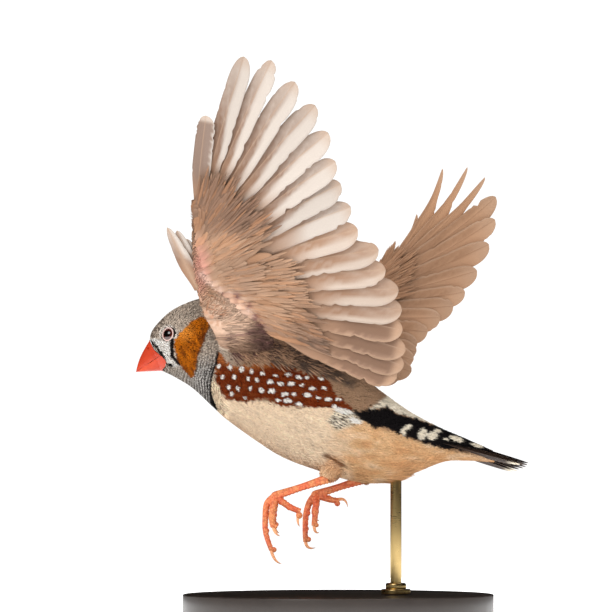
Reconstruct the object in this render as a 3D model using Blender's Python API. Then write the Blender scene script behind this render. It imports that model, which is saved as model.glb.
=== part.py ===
"""A life-size zebra finch cock in flight, held on a plain display stand.

Metres, +Z up. The origin is the centre of the stand's underside. The bird faces -X and its left side is
towards -Y. Sizes below are in millimetres and are scaled to metres when a mesh is made.
"""

import math
import random

import bmesh
import bpy
import numpy as np
from mathutils import Matrix, Vector
from mathutils.bvhtree import BVHTree

MM = 0.001
GAP = 0.3
BALL_SIDES = 12

# Stand
BASE_RADIUS = 42.0
BASE_HEIGHT = 5.0
BASE_BEVEL = 0.8
BASE_SIDES = 48
ROD_RADIUS = 1.5
ROD_X = 15.5
ROD_Y = -8.0
COLLAR_RADIUS = 4.0
COLLAR_HEIGHT = 3.0

# The trunk, from the bill's base to the root of the tail: each station is the top and bottom of one
# section in the bird's middle plane (x, z), and the section's half width.
TRUNK = {
    "bill_base": ((-51.0, 73.4), (-47.6, 65.3), 3.5),
    "brow": ((-49.8, 76.8), (-44.2, 63.7), 5.6),
    "crown": ((-44.6, 81.8), (-39.2, 60.6), 7.8),
    "nape": ((-36.6, 85.0), (-33.8, 55.6), 8.9),
    "neck": ((-30.8, 84.4), (-29.9, 52.0), 9.9),
    "shoulder": ((-22.6, 79.4), (-21.6, 46.0), 11.8),
    "breast": ((-14.0, 73.8), (-14.6, 41.8), 12.8),
    "back": ((-5.0, 69.6), (-6.0, 38.6), 13.0),
    "loin": ((4.0, 65.6), (4.0, 35.6), 12.0),
    "vent": ((11.8, 59.6), (12.4, 35.2), 9.9),
    "rump": ((19.4, 54.2), (20.8, 38.0), 6.8),
    "tail_root": ((27.2, 49.9), (28.4, 41.0), 4.4),
}
TRUNK_SIDES = 24
RINGS_PER_STATION = 2
NECK_STARTS = 3.35
NECK_ENDS = 4.3
TAIL_STARTS = 9.7
BANK = math.radians(12.0)
BANK_FULL_AT = 5.0

# Bill
BILL_TIP = Vector((-54.6, 0.0, 65.0))
GAPE = Vector((-48.2, 0.0, 69.3))
BILL_RINGS = 8
BILL_SIDES = 16
CULMEN_BULGE = 0.72
BILL_TAPER = 0.86
NOSTRIL = Vector((-51.3, 0.0, 71.3))
NOSTRIL_RADIUS = 0.4
NOSTRIL_SIDES = 8

# Eyes
EYE_X = -45.8
EYE_Z = 75.2
EYEBALL_RADIUS = 2.3
EYE_BULGE = 0.55
LID_RADIUS = 1.95
LID_THICKNESS = 0.42
LID_TALLER = 1.08
LID_SUNK = 0.05
LID_TURNS = 16
LID_SIDES = 6

# Tail
TAIL_PAIRS = 6
TAIL_LENGTHS = (31.8, 31.6, 31.1, 30.2, 29.9, 29.2)
TAIL_WIDTH = 5.0
TAIL_FAN = math.radians(1.4)
TAIL_SPREAD = 0.32
TAIL_ROOTS = -8.0
TAIL_LAYER = 0.38
TAIL_TOP_LAYER = 1.5
TAIL_SLOPE = math.radians(-16.6)
TAIL_COVERT_WIDTH = 4.5
# Tail coverts in tiers: how many, their reach, where they start, their height and how far they rise
TAIL_COVERTS = (
    (4, 20.0, -7.0, 1.3, 1.5),
    (3, 14.0, -7.0, 2.3, 1.3),
    (4, 17.0, -7.0, -1.6, -1.3),
    (3, 11.0, -7.0, -2.6, -1.2),
)

# Body's lie: the tail swings to the left behind the shoulders
SWING = math.tan(math.radians(9.0))
SWING_FROM = -26.0
SWING_SOFTNESS = 10.0

# Wings: a wing's surface is the plane y = offset + lean * z + sweep * x
LEFT_PLANE = (5.1, -0.28, -0.12)
RIGHT_PLANE = (-16.5, 0.45, -0.05)

# Flesh of each wing from inside the shoulder out: front edge (x, z), back edge (x, z), thickness
LEFT_FLESH = (
    ((-31.0, 68.0), (-18.0, 69.0), 5.0),
    ((-34.0, 75.5), (-17.5, 76.0), 4.6),
    ((-36.6, 80.0), (-18.5, 81.0), 3.8),
    ((-38.6, 87.0), (-26.0, 86.5), 3.2),
    ((-39.3, 92.5), (-33.5, 92.0), 3.2),
    ((-39.6, 99.0), (-35.0, 98.5), 2.8),
    ((-39.6, 107.0), (-36.6, 106.5), 2.0),
    ((-39.2, 111.0), (-38.4, 111.0), 1.0),
)
RIGHT_FLESH = (
    ((-27.0, 68.5), (-14.0, 67.5), 5.0),
    ((-24.5, 75.0), (-11.5, 70.5), 4.6),
    ((-18.0, 80.0), (-7.0, 73.5), 3.8),
    ((-10.0, 83.5), (-3.0, 77.5), 3.2),
    ((-3.0, 85.0), (1.0, 80.8), 3.0),
    ((3.2, 87.0), (6.4, 83.6), 2.6),
    ((7.6, 89.6), (9.8, 87.4), 1.8),
    ((10.2, 91.4), (11.0, 90.8), 1.0),
)
LEFT_BONES = ((-22.5, 79.0), (-36.3, 91.5), (-38.2, 108.5))
RIGHT_BONES = ((-12.5, 73.0), (0.0, 81.7), (9.2, 88.9))
ROOT_DEPTH = 7.0
FLESH_SIDES = 12

# Feather tips (x, z): primaries from the wrist outwards, then secondaries from the wrist inwards
LEFT_PRIMARIES = (
    (3.2, 109.3),
    (0.5, 115.5),
    (-0.9, 121.4),
    (-2.8, 129.0),
    (-6.3, 136.3),
    (-11.7, 142.5),
    (-17.9, 148.2),
    (-25.2, 149.2),
    (-35.4, 133.6),
)
LEFT_SECONDARIES = (
    (5.1, 103.3),
    (10.7, 97.9),
    (12.6, 92.5),
    (16.1, 87.1),
    (17.0, 81.7),
    (17.2, 76.3),
    (18.0, 70.9),
    (17.5, 66.6),
    (15.6, 63.4),
)
RIGHT_PRIMARIES = (
    (34.6, 86.6),
    (37.9, 92.4),
    (41.2, 99.6),
    (42.9, 106.4),
    (43.2, 112.6),
    (40.3, 118.0),
    (35.5, 120.8),
    (28.7, 120.4),
    (21.6, 107.9),
)
RIGHT_SECONDARIES = (
    (31.4, 82.8),
    (27.8, 79.6),
    (24.4, 75.8),
    (21.5, 72.3),
    (21.3, 70.4),
    (20.5, 68.2),
    (19.9, 65.0),
    (16.7, 63.4),
    (12.6, 63.6),
)
# How far the innermost and the outermost flight feather bend, as shares of their length
LEFT_BOWS = (-0.06, -0.04)
RIGHT_BOWS = (0.05, 0.4)
RIGHT_SCALE = 0.82
FEATHER_THICKNESS = 0.5
PRIMARY_WIDTH = 7.6
SECONDARY_WIDTH = 8.0
OUTER_WEB = 0.42
SLIMMER_OUTSIDE = 0.3
NOTCHED_FROM = 5
LIFTED_BY = 0.45
SHINGLE = math.radians(15.0)
COVERT_SHINGLE = math.radians(8.0)
COVERT_SHARE = 0.4
COVERT_SHORTER_OUTSIDE = 0.62
COVERT_WIDTH = 5.6
COVERT_SLIMMER_OUTSIDE = 0.45
COVERT_ROOT_HEIGHT = 0.7
COVERT_LIFT = 1.55
LEFT_ALULA = (
    ((-39.4, 90.2), (-45.8, 104.0)),
    ((-39.2, 91.4), (-43.3, 103.0)),
    ((-39.0, 92.6), (-40.9, 100.6)),
)
RIGHT_ALULA = (
    ((-2.8, 84.0), (4.9, 97.6)),
    ((-1.9, 84.2), (6.9, 95.6)),
    ((-1.0, 84.4), (8.2, 93.2)),
)
ALULA_WIDTH = 3.4
ALULA_HEIGHTS = (0.75, 0.0, -0.75)
CHANCE_SEED = 7

# Legs: (x, y, z) of the thigh's top, heel and foot joint, then each toe's joints and its claw
LEFT_LEG = ((1.6, -8.6, 44.6), (-3.4, -10.0, 36.2), (-16.6, -10.5, 31.9))
RIGHT_LEG = ((10.0, 0.5, 42.0), (6.4, 3.0, 35.8), (-5.8, 3.5, 31.9))
LEFT_TOES = (
    ((-19.1, -10.7, 29.7), (-19.6, -10.9, 26.0), (-19.5, -11.0, 21.8), (-18.0, -11.0, 17.2)),
    ((-17.6, -12.2, 28.6), (-17.9, -13.1, 25.6), (-17.5, -13.4, 23.4)),
    ((-17.2, -8.8, 28.7), (-17.5, -7.7, 26.0), (-17.3, -7.2, 23.9)),
    ((-14.7, -10.3, 29.9), (-12.5, -10.2, 28.5), (-10.2, -10.1, 27.6)),
)
RIGHT_TOES = (
    ((-7.8, 3.4, 29.5), (-8.7, 3.2, 26.2), (-8.9, 3.1, 22.0), (-8.8, 3.1, 19.0)),
    ((-6.0, 2.0, 29.4), (-6.2, 1.2, 26.6), (-6.5, 0.9, 23.4)),
    ((-5.8, 5.0, 29.6), (-6.3, 6.0, 27.8), (-6.5, 6.4, 26.4)),
    ((-3.9, 3.6, 31.0), (-1.9, 3.7, 30.4), (0.0, 3.8, 30.2)),
)
# Each claw's bend and point
LEFT_CLAWS = (
    ((-17.1, -11.0, 14.8), (-15.3, -10.9, 13.5)),
    ((-16.9, -13.4, 22.0), (-15.7, -13.3, 21.0)),
    ((-16.9, -7.1, 22.6), (-15.9, -7.1, 21.7)),
    ((-10.9, -10.1, 25.1), (-10.4, -10.1, 23.5)),
)
RIGHT_CLAWS = (
    ((-8.1, 3.0, 17.6), (-6.1, 3.0, 17.5)),
    ((-6.2, 0.9, 22.0), (-5.1, 0.9, 21.6)),
    ((-6.1, 6.4, 25.2), (-5.1, 6.4, 24.8)),
    ((1.6, 3.8, 30.4), (2.6, 3.8, 28.4)),
)
THIGH_RADII = (4.6, 3.9, 1.9)
TARSUS_RADIUS = 1.05
SHANK_FLAT = 0.85
TOE_RADIUS = 0.96
TOE_TAPER = 0.08
CLAW_RADIUS = 0.42
CLAW_POINT_RADIUS = 0.08
THIGH_SIDES = 12
SHANK_SIDES = 10
TOE_SIDES = 7
CLAW_SIDES = 5


# Outline of a flight feather and of a covert: place from root to tip, and share of the full width
FLIGHT_OUTLINE = ((0.0, 0.36), (0.3, 0.76), (0.66, 1.0), (0.91, 0.84), (1.0, 0.34))
NOTCHED_OUTLINE = ((0.0, 0.4), (0.3, 0.9), (0.6, 0.95), (0.8, 0.42), (1.0, 0.12))
COVERT_OUTLINE = ((0.0, 0.55), (0.65, 1.0), (1.0, 0.5))


def spline(points, place):
    """A point on the Catmull-Rom curve through some points, at a place counted in points."""
    last = len(points) - 1
    index = min(int(place), last - 1)
    share = place - index
    before, start, end, after = (points[min(max(index + step, 0), last)] for step in (-1, 0, 1, 2))
    return 0.5 * (
        2 * start
        + (end - before) * share
        + (2 * before - 5 * start + 4 * end - after) * share**2
        + (3 * start - before - 3 * end + after) * share**3
    )


def smooth(value):
    """Eases a value from 0 to 1."""
    value = min(max(value, 0.0), 1.0)
    return value * value * (3 - 2 * value)


def new_mesh(name, points, faces):
    """An object from points in millimetres, with its faces turned outwards."""
    mesh = bpy.data.meshes.new(name)
    mesh.from_pydata([Vector(p) * MM for p in points], [], faces)
    shape = bmesh.new()
    shape.from_mesh(mesh)
    bmesh.ops.recalc_face_normals(shape, faces=shape.faces)
    if shape.calc_volume(signed=True) < 0:
        bmesh.ops.reverse_faces(shape, faces=shape.faces)
    shape.to_mesh(mesh)
    shape.free()
    obj = bpy.data.objects.new(name, mesh)
    bpy.context.scene.collection.objects.link(obj)
    return obj


def loft(name, rings):
    """A closed body through rings of equal size, with fans of triangles for its ends.

    A last or first ring of one point closes the body in a tip.
    """
    points = [point for ring in rings for point in ring]
    starts = np.cumsum([0] + [len(ring) for ring in rings])
    faces = []
    for (first, near), (second, far) in zip(
        zip(starts[:-2], rings[:-1]), zip(starts[1:-1], rings[1:])
    ):
        count = max(len(near), len(far))
        for i in range(count):
            j = (i + 1) % count
            a, b = (first, first) if len(near) == 1 else (first + i, first + j)
            c, d = (second, second) if len(far) == 1 else (second + j, second + i)
            faces += [f for f in ((a, b, c), (a, c, d)) if len(set(f)) == 3]
    for start, ring in ((starts[0], rings[0]), (starts[-2], rings[-1])):
        if len(ring) > 1:
            centre = len(points)
            points.append(sum((Vector(p) for p in ring), Vector()) / len(ring))
            faces += [
                (centre, start + i, start + (i + 1) % len(ring)) for i in range(len(ring))
            ]
    return new_mesh(name, points, faces)


def tube(name, path, radii, sides=8, flat=1.0, tip=False, per_span=2):
    """A body round a smooth path. Flat below 1 squeezes it across the bird."""
    rings = []
    side = Vector((0, 1, 0))
    steps = per_span * (len(path) - 1)
    for step in range(steps + 1):
        place = step / per_span
        centre = spline(path, place)
        ahead = spline(path, min(place + 0.1, len(path) - 1)) - spline(path, max(place - 0.1, 0))
        ahead.normalize()
        side = (side - ahead * side.dot(ahead)).normalized()
        up = ahead.cross(side)
        index = min(int(place), len(radii) - 2)
        radius = radii[index] + (radii[index + 1] - radii[index]) * (place - index)
        if tip and step == steps:
            rings.append([centre])
            continue
        turns = [2 * math.pi * k / sides for k in range(sides)]
        rings.append(
            [
                centre + side * (radius * flat * math.cos(turn)) + up * (radius * math.sin(turn))
                for turn in turns
            ]
        )
    return loft(name, rings)


def ball(name, centre, radius, sides=BALL_SIDES):
    """A ball of triangles and quads."""
    shape = bmesh.new()
    bmesh.ops.create_uvsphere(shape, u_segments=sides, v_segments=sides // 2, radius=radius)
    points = [vertex.co + centre for vertex in shape.verts]
    shape.verts.index_update()
    faces = [[vertex.index for vertex in face.verts] for face in shape.faces]
    shape.free()
    return new_mesh(name, points, faces)


def vane(name, root, tip, lead, width, tilt=0.0, bow=0.0, lift=0.0, outline=FLIGHT_OUTLINE):
    """A flat, tapered feather from root to tip, with its leading edge on the side of lead.

    Its face looks along root-to-tip cross lead. Tilt turns the leading edge up along that face, bow bends
    the shaft away from lead, and lift raises it off its root along the face.
    """
    along = tip - root
    length = along.length
    along.normalize()
    up = along.cross(lead).normalized()
    leading = up.cross(along)
    turned = Matrix.Rotation(tilt, 3, along)
    rings = []
    for place, share in outline:
        centre = root.lerp(tip, place)
        centre = centre + leading * (bow * length * (place * place - place))
        centre = centre + up * (lift * smooth(place / LIFTED_BY))
        across = turned @ leading * (width * share)
        half = turned @ up * (FEATHER_THICKNESS * (0.5 if place < 0.9 else 0.3))
        front = centre + across * OUTER_WEB
        back = centre - across * (1 - OUTER_WEB)
        rings.append([front + half, back + half, back - half, front - half])
    return mirrored_strip(name, rings)


def mirrored_strip(name, rings):
    """A closed strip whose two faces are split into triangles alike."""
    size = len(rings[0])
    half = size // 2
    points = [point for ring in rings for point in ring]
    faces = []
    for k in range(len(rings) - 1):
        near, far = k * size, (k + 1) * size
        for i in range(half - 1):
            a, b = near + i, near + i + 1
            c, d = far + i + 1, far + i
            faces += [(a, b, c), (a, c, d)]
            low_a, low_b = near + size - 1 - i, near + size - 2 - i
            low_c, low_d = far + size - 2 - i, far + size - 1 - i
            faces += [(low_a, low_c, low_b), (low_a, low_d, low_c)]
        for i, j in ((half - 1, half), (size - 1, 0)):
            faces += [(near + i, near + j, far + j), (near + i, far + j, far + i)]
    for start in (0, (len(rings) - 1) * size):
        for i in range(half - 1):
            faces += [
                (start + i, start + i + 1, start + size - 2 - i),
                (start + i, start + size - 2 - i, start + size - 1 - i),
            ]
    return new_mesh(name, points, faces)


def apply_modifiers(obj):
    """Writes an object's modifiers into its mesh."""
    bpy.context.view_layer.update()
    graph = bpy.context.evaluated_depsgraph_get()
    made = bpy.data.meshes.new_from_object(obj.evaluated_get(graph))
    obj.modifiers.clear()
    obj.data = made


def keep_largest(obj):
    """Drops all but the largest closed surface of an object."""
    shape = bmesh.new()
    shape.from_mesh(obj.data)
    seen = set()
    groups = []
    for start in shape.verts:
        if start in seen:
            continue
        seen.add(start)
        group, queue = [start], [start]
        while queue:
            for edge in queue.pop().link_edges:
                for vertex in edge.verts:
                    if vertex not in seen:
                        seen.add(vertex)
                        group.append(vertex)
                        queue.append(vertex)
        groups.append(group)
    groups.sort(key=lambda group: -sum(f.calc_area() for v in group for f in v.link_faces))
    dropped = [vertex for group in groups[1:] for vertex in group]
    bmesh.ops.delete(shape, geom=dropped, context="VERTS")
    shape.to_mesh(obj.data)
    shape.free()


def fuse(core, pieces, solver="EXACT"):
    """Joins closed pieces to a core and removes them."""
    group = bpy.data.collections.new(core.name + "_pieces")
    bpy.context.scene.collection.children.link(group)
    for piece in pieces:
        bpy.context.scene.collection.objects.unlink(piece)
        group.objects.link(piece)
    joined = core.modifiers.new("join", "BOOLEAN")
    joined.operation = "UNION"
    joined.operand_type = "COLLECTION"
    joined.collection = group
    joined.solver = solver
    apply_modifiers(core)
    for piece in pieces:
        bpy.data.objects.remove(piece)
    bpy.data.collections.remove(group)
    keep_largest(core)
    return core


def cut(obj, cutters, solver="EXACT"):
    """Takes closed cutters out of an object, removes them, and keeps the largest body left."""
    for cutter in cutters:
        taken = obj.modifiers.new("cut", "BOOLEAN")
        taken.operation = "DIFFERENCE"
        taken.object = cutter
        taken.solver = solver
        apply_modifiers(obj)
        bpy.data.objects.remove(cutter)
    keep_largest(obj)
    return obj


def material(name, colour, roughness, metallic=0.0):
    """A plain Principled material."""
    made = bpy.data.materials.new(name)
    made.use_nodes = True
    shader = made.node_tree.nodes["Principled BSDF"]
    shader.inputs["Base Color"].default_value = (*colour, 1.0)
    shader.inputs["Roughness"].default_value = roughness
    shader.inputs["Metallic"].default_value = metallic
    return made


def dress(obj, finish):
    """Gives an object its one material and smooth shading with sharp creases kept."""
    obj.data.materials.clear()
    obj.data.materials.append(finish)
    obj.data.shade_smooth()
    obj.data.set_sharp_from_angle(angle=math.radians(40))


STATIONS = list(TRUNK.values())


def swing(x):
    """How far the body's middle plane stands to the right at one place along it."""
    return -SWING * SWING_SOFTNESS * math.log1p(math.exp((x - SWING_FROM) / SWING_SOFTNESS))


def trunk_ring(place, grow=0.0):
    """One section of the trunk at a place counted in stations, banked like the body."""
    tops = [Vector((top[0], 0, top[1])) for top, _, _ in STATIONS]
    bottoms = [Vector((bottom[0], 0, bottom[1])) for _, bottom, _ in STATIONS]
    top, bottom = spline(tops, place), spline(bottoms, place)
    wide = spline([Vector((width, 0, 0)) for _, _, width in STATIONS], place).x + grow
    centre = (top + bottom) / 2
    up = (top - bottom).normalized()
    tall = (top - bottom).length / 2 + grow
    ahead = up.cross(Vector((0, 1, 0)))
    centre.y = swing(centre.x)
    bank = Matrix.Rotation(BANK * smooth((place - 2) / (BANK_FULL_AT - 2)), 3, ahead)
    up, side = bank @ up, bank @ Vector((0, 1, 0))
    turns = [2 * math.pi * k / TRUNK_SIDES for k in range(TRUNK_SIDES)]
    return [
        centre + up * (tall * math.cos(turn)) + side * (wide * math.sin(turn)) for turn in turns
    ]


def trunk_centre(place):
    """The middle of the trunk's section at a place counted in stations."""
    ring = trunk_ring(place)
    return sum(ring, Vector()) / len(ring)


def trunk_length(name, first, last, grow=0.0):
    """The trunk from one place to another, as a closed body."""
    steps = max(round((last - first) * RINGS_PER_STATION), 1)
    return loft(name, [trunk_ring(first + (last - first) * k / steps, grow) for k in range(steps + 1)])


def shifted(place, distance):
    """A place moved along the trunk by a distance in millimetres."""
    pace = (trunk_centre(place + 0.05) - trunk_centre(place - 0.05)).length / 0.1
    return place + distance / pace


def clear_of_body(grow=GAP):
    """A cutter a little larger than the whole trunk."""
    return trunk_length("clearance", 0.4, len(STATIONS) - 1, grow)


def surface_of(obj, start, direction):
    """Where a ray from a point in millimetres first meets an object's surface."""
    tree = BVHTree.FromObject(obj, bpy.context.evaluated_depsgraph_get())
    point, normal, _, _ = tree.ray_cast(start * MM, direction)
    return point / MM, normal


def build_stand():
    """The round base, the collar on it and the rod up to the belly."""
    shape = bmesh.new()
    bmesh.ops.create_cone(
        shape,
        cap_ends=True,
        segments=BASE_SIDES,
        radius1=BASE_RADIUS * MM,
        radius2=BASE_RADIUS * MM,
        depth=BASE_HEIGHT * MM,
        matrix=Matrix.Translation((0, 0, BASE_HEIGHT * MM / 2)),
    )
    rim = [e for e in shape.edges if all(v.co.z > BASE_HEIGHT * MM * 0.9 for v in e.verts)]
    bmesh.ops.bevel(shape, geom=rim, offset=BASE_BEVEL * MM, segments=2, affect="EDGES", profile=0.5)
    mesh = bpy.data.meshes.new("stand_base")
    shape.to_mesh(mesh)
    shape.free()
    base = bpy.data.objects.new("stand_base", mesh)
    bpy.context.scene.collection.objects.link(base)

    foot = BASE_HEIGHT + GAP
    top = trunk_centre(9.2).z
    levels = (
        (COLLAR_RADIUS, foot),
        (COLLAR_RADIUS, foot + COLLAR_HEIGHT * 0.5),
        (ROD_RADIUS * 1.25, foot + COLLAR_HEIGHT),
        (ROD_RADIUS, foot + COLLAR_HEIGHT + 0.5),
        (ROD_RADIUS, top),
    )
    sides = 20
    turns = [2 * math.pi * k / sides for k in range(sides)]
    rod = loft(
        "stand_rod",
        [
            [
                Vector((ROD_X + radius * math.cos(a), ROD_Y + radius * math.sin(a), height))
                for a in turns
            ]
            for radius, height in levels
        ],
    )
    cut(rod, [clear_of_body()])
    dress(base, material("stand_wood", (0.05, 0.045, 0.04), 0.45))
    dress(rod, material("stand_brass", (0.62, 0.5, 0.3), 0.3, 1.0))


def build_trunk(plumage):
    """Head, neck, torso and the flesh of the tail's root, parted by thin gaps."""
    head = trunk_length("head", 0.0, shifted(NECK_STARTS, -GAP / 2))
    neck = trunk_length("neck", shifted(NECK_STARTS, GAP / 2), shifted(NECK_ENDS, -GAP / 2))
    torso = trunk_length("torso", shifted(NECK_ENDS, GAP / 2), shifted(TAIL_STARTS, -GAP / 2))
    dress(neck, plumage["grey"])
    dress(torso, plumage["buff"])
    return head, neck, torso


def build_eyes(head, plumage):
    """Lids and sockets in the head, and the two eyeballs."""
    lids, sockets = [], []
    for side, name in ((-1, "eye_left"), (1, "eye_right")):
        outwards = Vector((0, side, 0))
        skin, normal = surface_of(head, Vector((EYE_X, 0, EYE_Z)), outwards)
        centre = skin + normal * (EYE_BULGE - EYEBALL_RADIUS)
        lids.append(lid_ring(skin - normal * LID_SUNK, normal))
        sockets.append(ball("socket", centre, EYEBALL_RADIUS + GAP))
        eye = ball(name, centre, EYEBALL_RADIUS)
        dress(eye, plumage["eye"])
    fuse(head, lids)
    cut(head, sockets)
    dress(head, plumage["grey"])


def lid_ring(centre, normal):
    """The bare rim round one eye."""
    across = normal.cross(Vector((0, 0, 1))).normalized()
    up = normal.cross(across)
    turns, sides = LID_TURNS, LID_SIDES
    points, faces = [], []
    for k in range(turns):
        turn = 2 * math.pi * k / turns
        out = across * math.cos(turn) + up * (math.sin(turn) * LID_TALLER)
        for i in range(sides):
            angle = 2 * math.pi * i / sides
            points.append(
                centre
                + out * (LID_RADIUS + LID_THICKNESS * math.cos(angle))
                + normal * (LID_THICKNESS * math.sin(angle))
            )
            here, there = k * sides, (k + 1) % turns * sides
            j = (i + 1) % sides
            faces.append((here + i, here + j, there + j, there + i))
    return new_mesh("lid", points, faces)


def bill_ring(share):
    """One section of the closed bill, from its base at 0 to near its tip at 1."""
    top = Vector((STATIONS[0][0][0], 0, STATIONS[0][0][1]))
    bottom = Vector((STATIONS[0][1][0], 0, STATIONS[0][1][1]))
    start = (top + bottom) / 2
    up = (top - bottom).normalized()
    ahead = Vector((0, 1, 0)).cross(up)
    ahead = -ahead if ahead.x > 0 else ahead
    base = start + ahead * GAP
    tall = (top - bottom).length / 2
    culmen = (base + up * tall).lerp(BILL_TIP, share) + ahead * (CULMEN_BULGE * math.sin(math.pi * share))
    gonys = (base - up * tall).lerp(BILL_TIP, share)
    wide = STATIONS[0][2] * (1 - share) ** BILL_TAPER
    centre = (culmen + gonys) / 2
    up = (culmen - gonys) / 2
    turns = [2 * math.pi * k / BILL_SIDES for k in range(BILL_SIDES)]
    return [centre + up * math.cos(a) + Vector((0, wide * math.sin(a), 0)) for a in turns]


def build_bill(plumage):
    """Upper and lower bill, parted along the line of the mouth."""
    shares = [1 - (1 - k / BILL_RINGS) ** 1.1 for k in range(BILL_RINGS)]
    line = (GAPE - BILL_TIP).normalized()
    across = Vector((0, 1, 0))
    up = across.cross(line) if across.cross(line).z > 0 else line.cross(across)
    back = GAPE + line * 8
    front = BILL_TIP - line * 4
    reach = 12
    for name, sign in (("bill_upper", 1), ("bill_lower", -1)):
        bill = loft(name, [bill_ring(share) for share in shares] + [[BILL_TIP]])
        near = -up * sign * -GAP / 2
        corners = [
            point + across * side * reach + offset
            for point in (back, front)
            for side, offset in (
                (-1, near),
                (1, near),
                (1, -up * sign * reach),
                (-1, -up * sign * reach),
            )
        ]
        block = loft("block", [corners[:4], corners[4:]])
        cut(bill, [block])
        if sign > 0:
            pits = []
            for side in (-1, 1):
                skin, _ = surface_of(bill, NOSTRIL, Vector((0, side, 0)))
                pits.append(ball("pit", skin, NOSTRIL_RADIUS, NOSTRIL_SIDES))
            cut(bill, pits)
        dress(bill, plumage["bill"])


def build_tail(plumage):
    """The root, its coverts and twelve feathers in layers."""
    start = shifted(TAIL_STARTS, GAP / 2)
    last = len(STATIONS) - 1
    root = trunk_length("tail", start, last)
    centre = trunk_centre(last)
    slope = -SWING * math.cos(TAIL_SLOPE)
    along = Vector((math.cos(TAIL_SLOPE), slope, math.sin(TAIL_SLOPE))).normalized()
    bank = Matrix.Rotation(-BANK, 3, along)
    side = bank @ Vector((0, 1, 0))
    up = side.cross(along)
    up = up if up.z > 0 else -up
    pieces = []
    for pair in range(TAIL_PAIRS):
        for hand in (-1, 1):
            level = pair + (0.5 * (1 + hand) - 1 if pair == 0 else 0)
            fan = hand * TAIL_FAN * (pair + 0.6)
            direction = along * math.cos(fan) + side * math.sin(fan)
            length = TAIL_LENGTHS[pair]
            base = centre + along * TAIL_ROOTS + side * hand * TAIL_SPREAD * (pair + 0.5)
            base = base + up * (TAIL_TOP_LAYER - TAIL_LAYER * level)
            tip = base + direction * length
            pieces.append(vane("rectrix", base, tip, side * hand, TAIL_WIDTH))
    for count, reach, start, height, lift in TAIL_COVERTS:
        for k in range(count):
            share = (k + 0.5) / count * 2 - 1
            base = centre + along * start + side * (share * 2.6) + up * height
            tip = base + along * reach + side * (share * 1.2)
            hand = 1 if share > 0 else -1
            level = hand * lift * (1 + 0.22 * (k % 2))
            lead = side * hand
            width = TAIL_COVERT_WIDTH
            pieces.append(vane("covert", base, tip, lead, width, lift=level, outline=COVERT_OUTLINE))
    fuse(root, pieces)
    dress(root, plumage["black"])


def mid_of(first, second, share):
    """A point between two, both given as (x, z)."""
    return tuple(a + (b - a) * share for a, b in zip(first, second))


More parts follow.
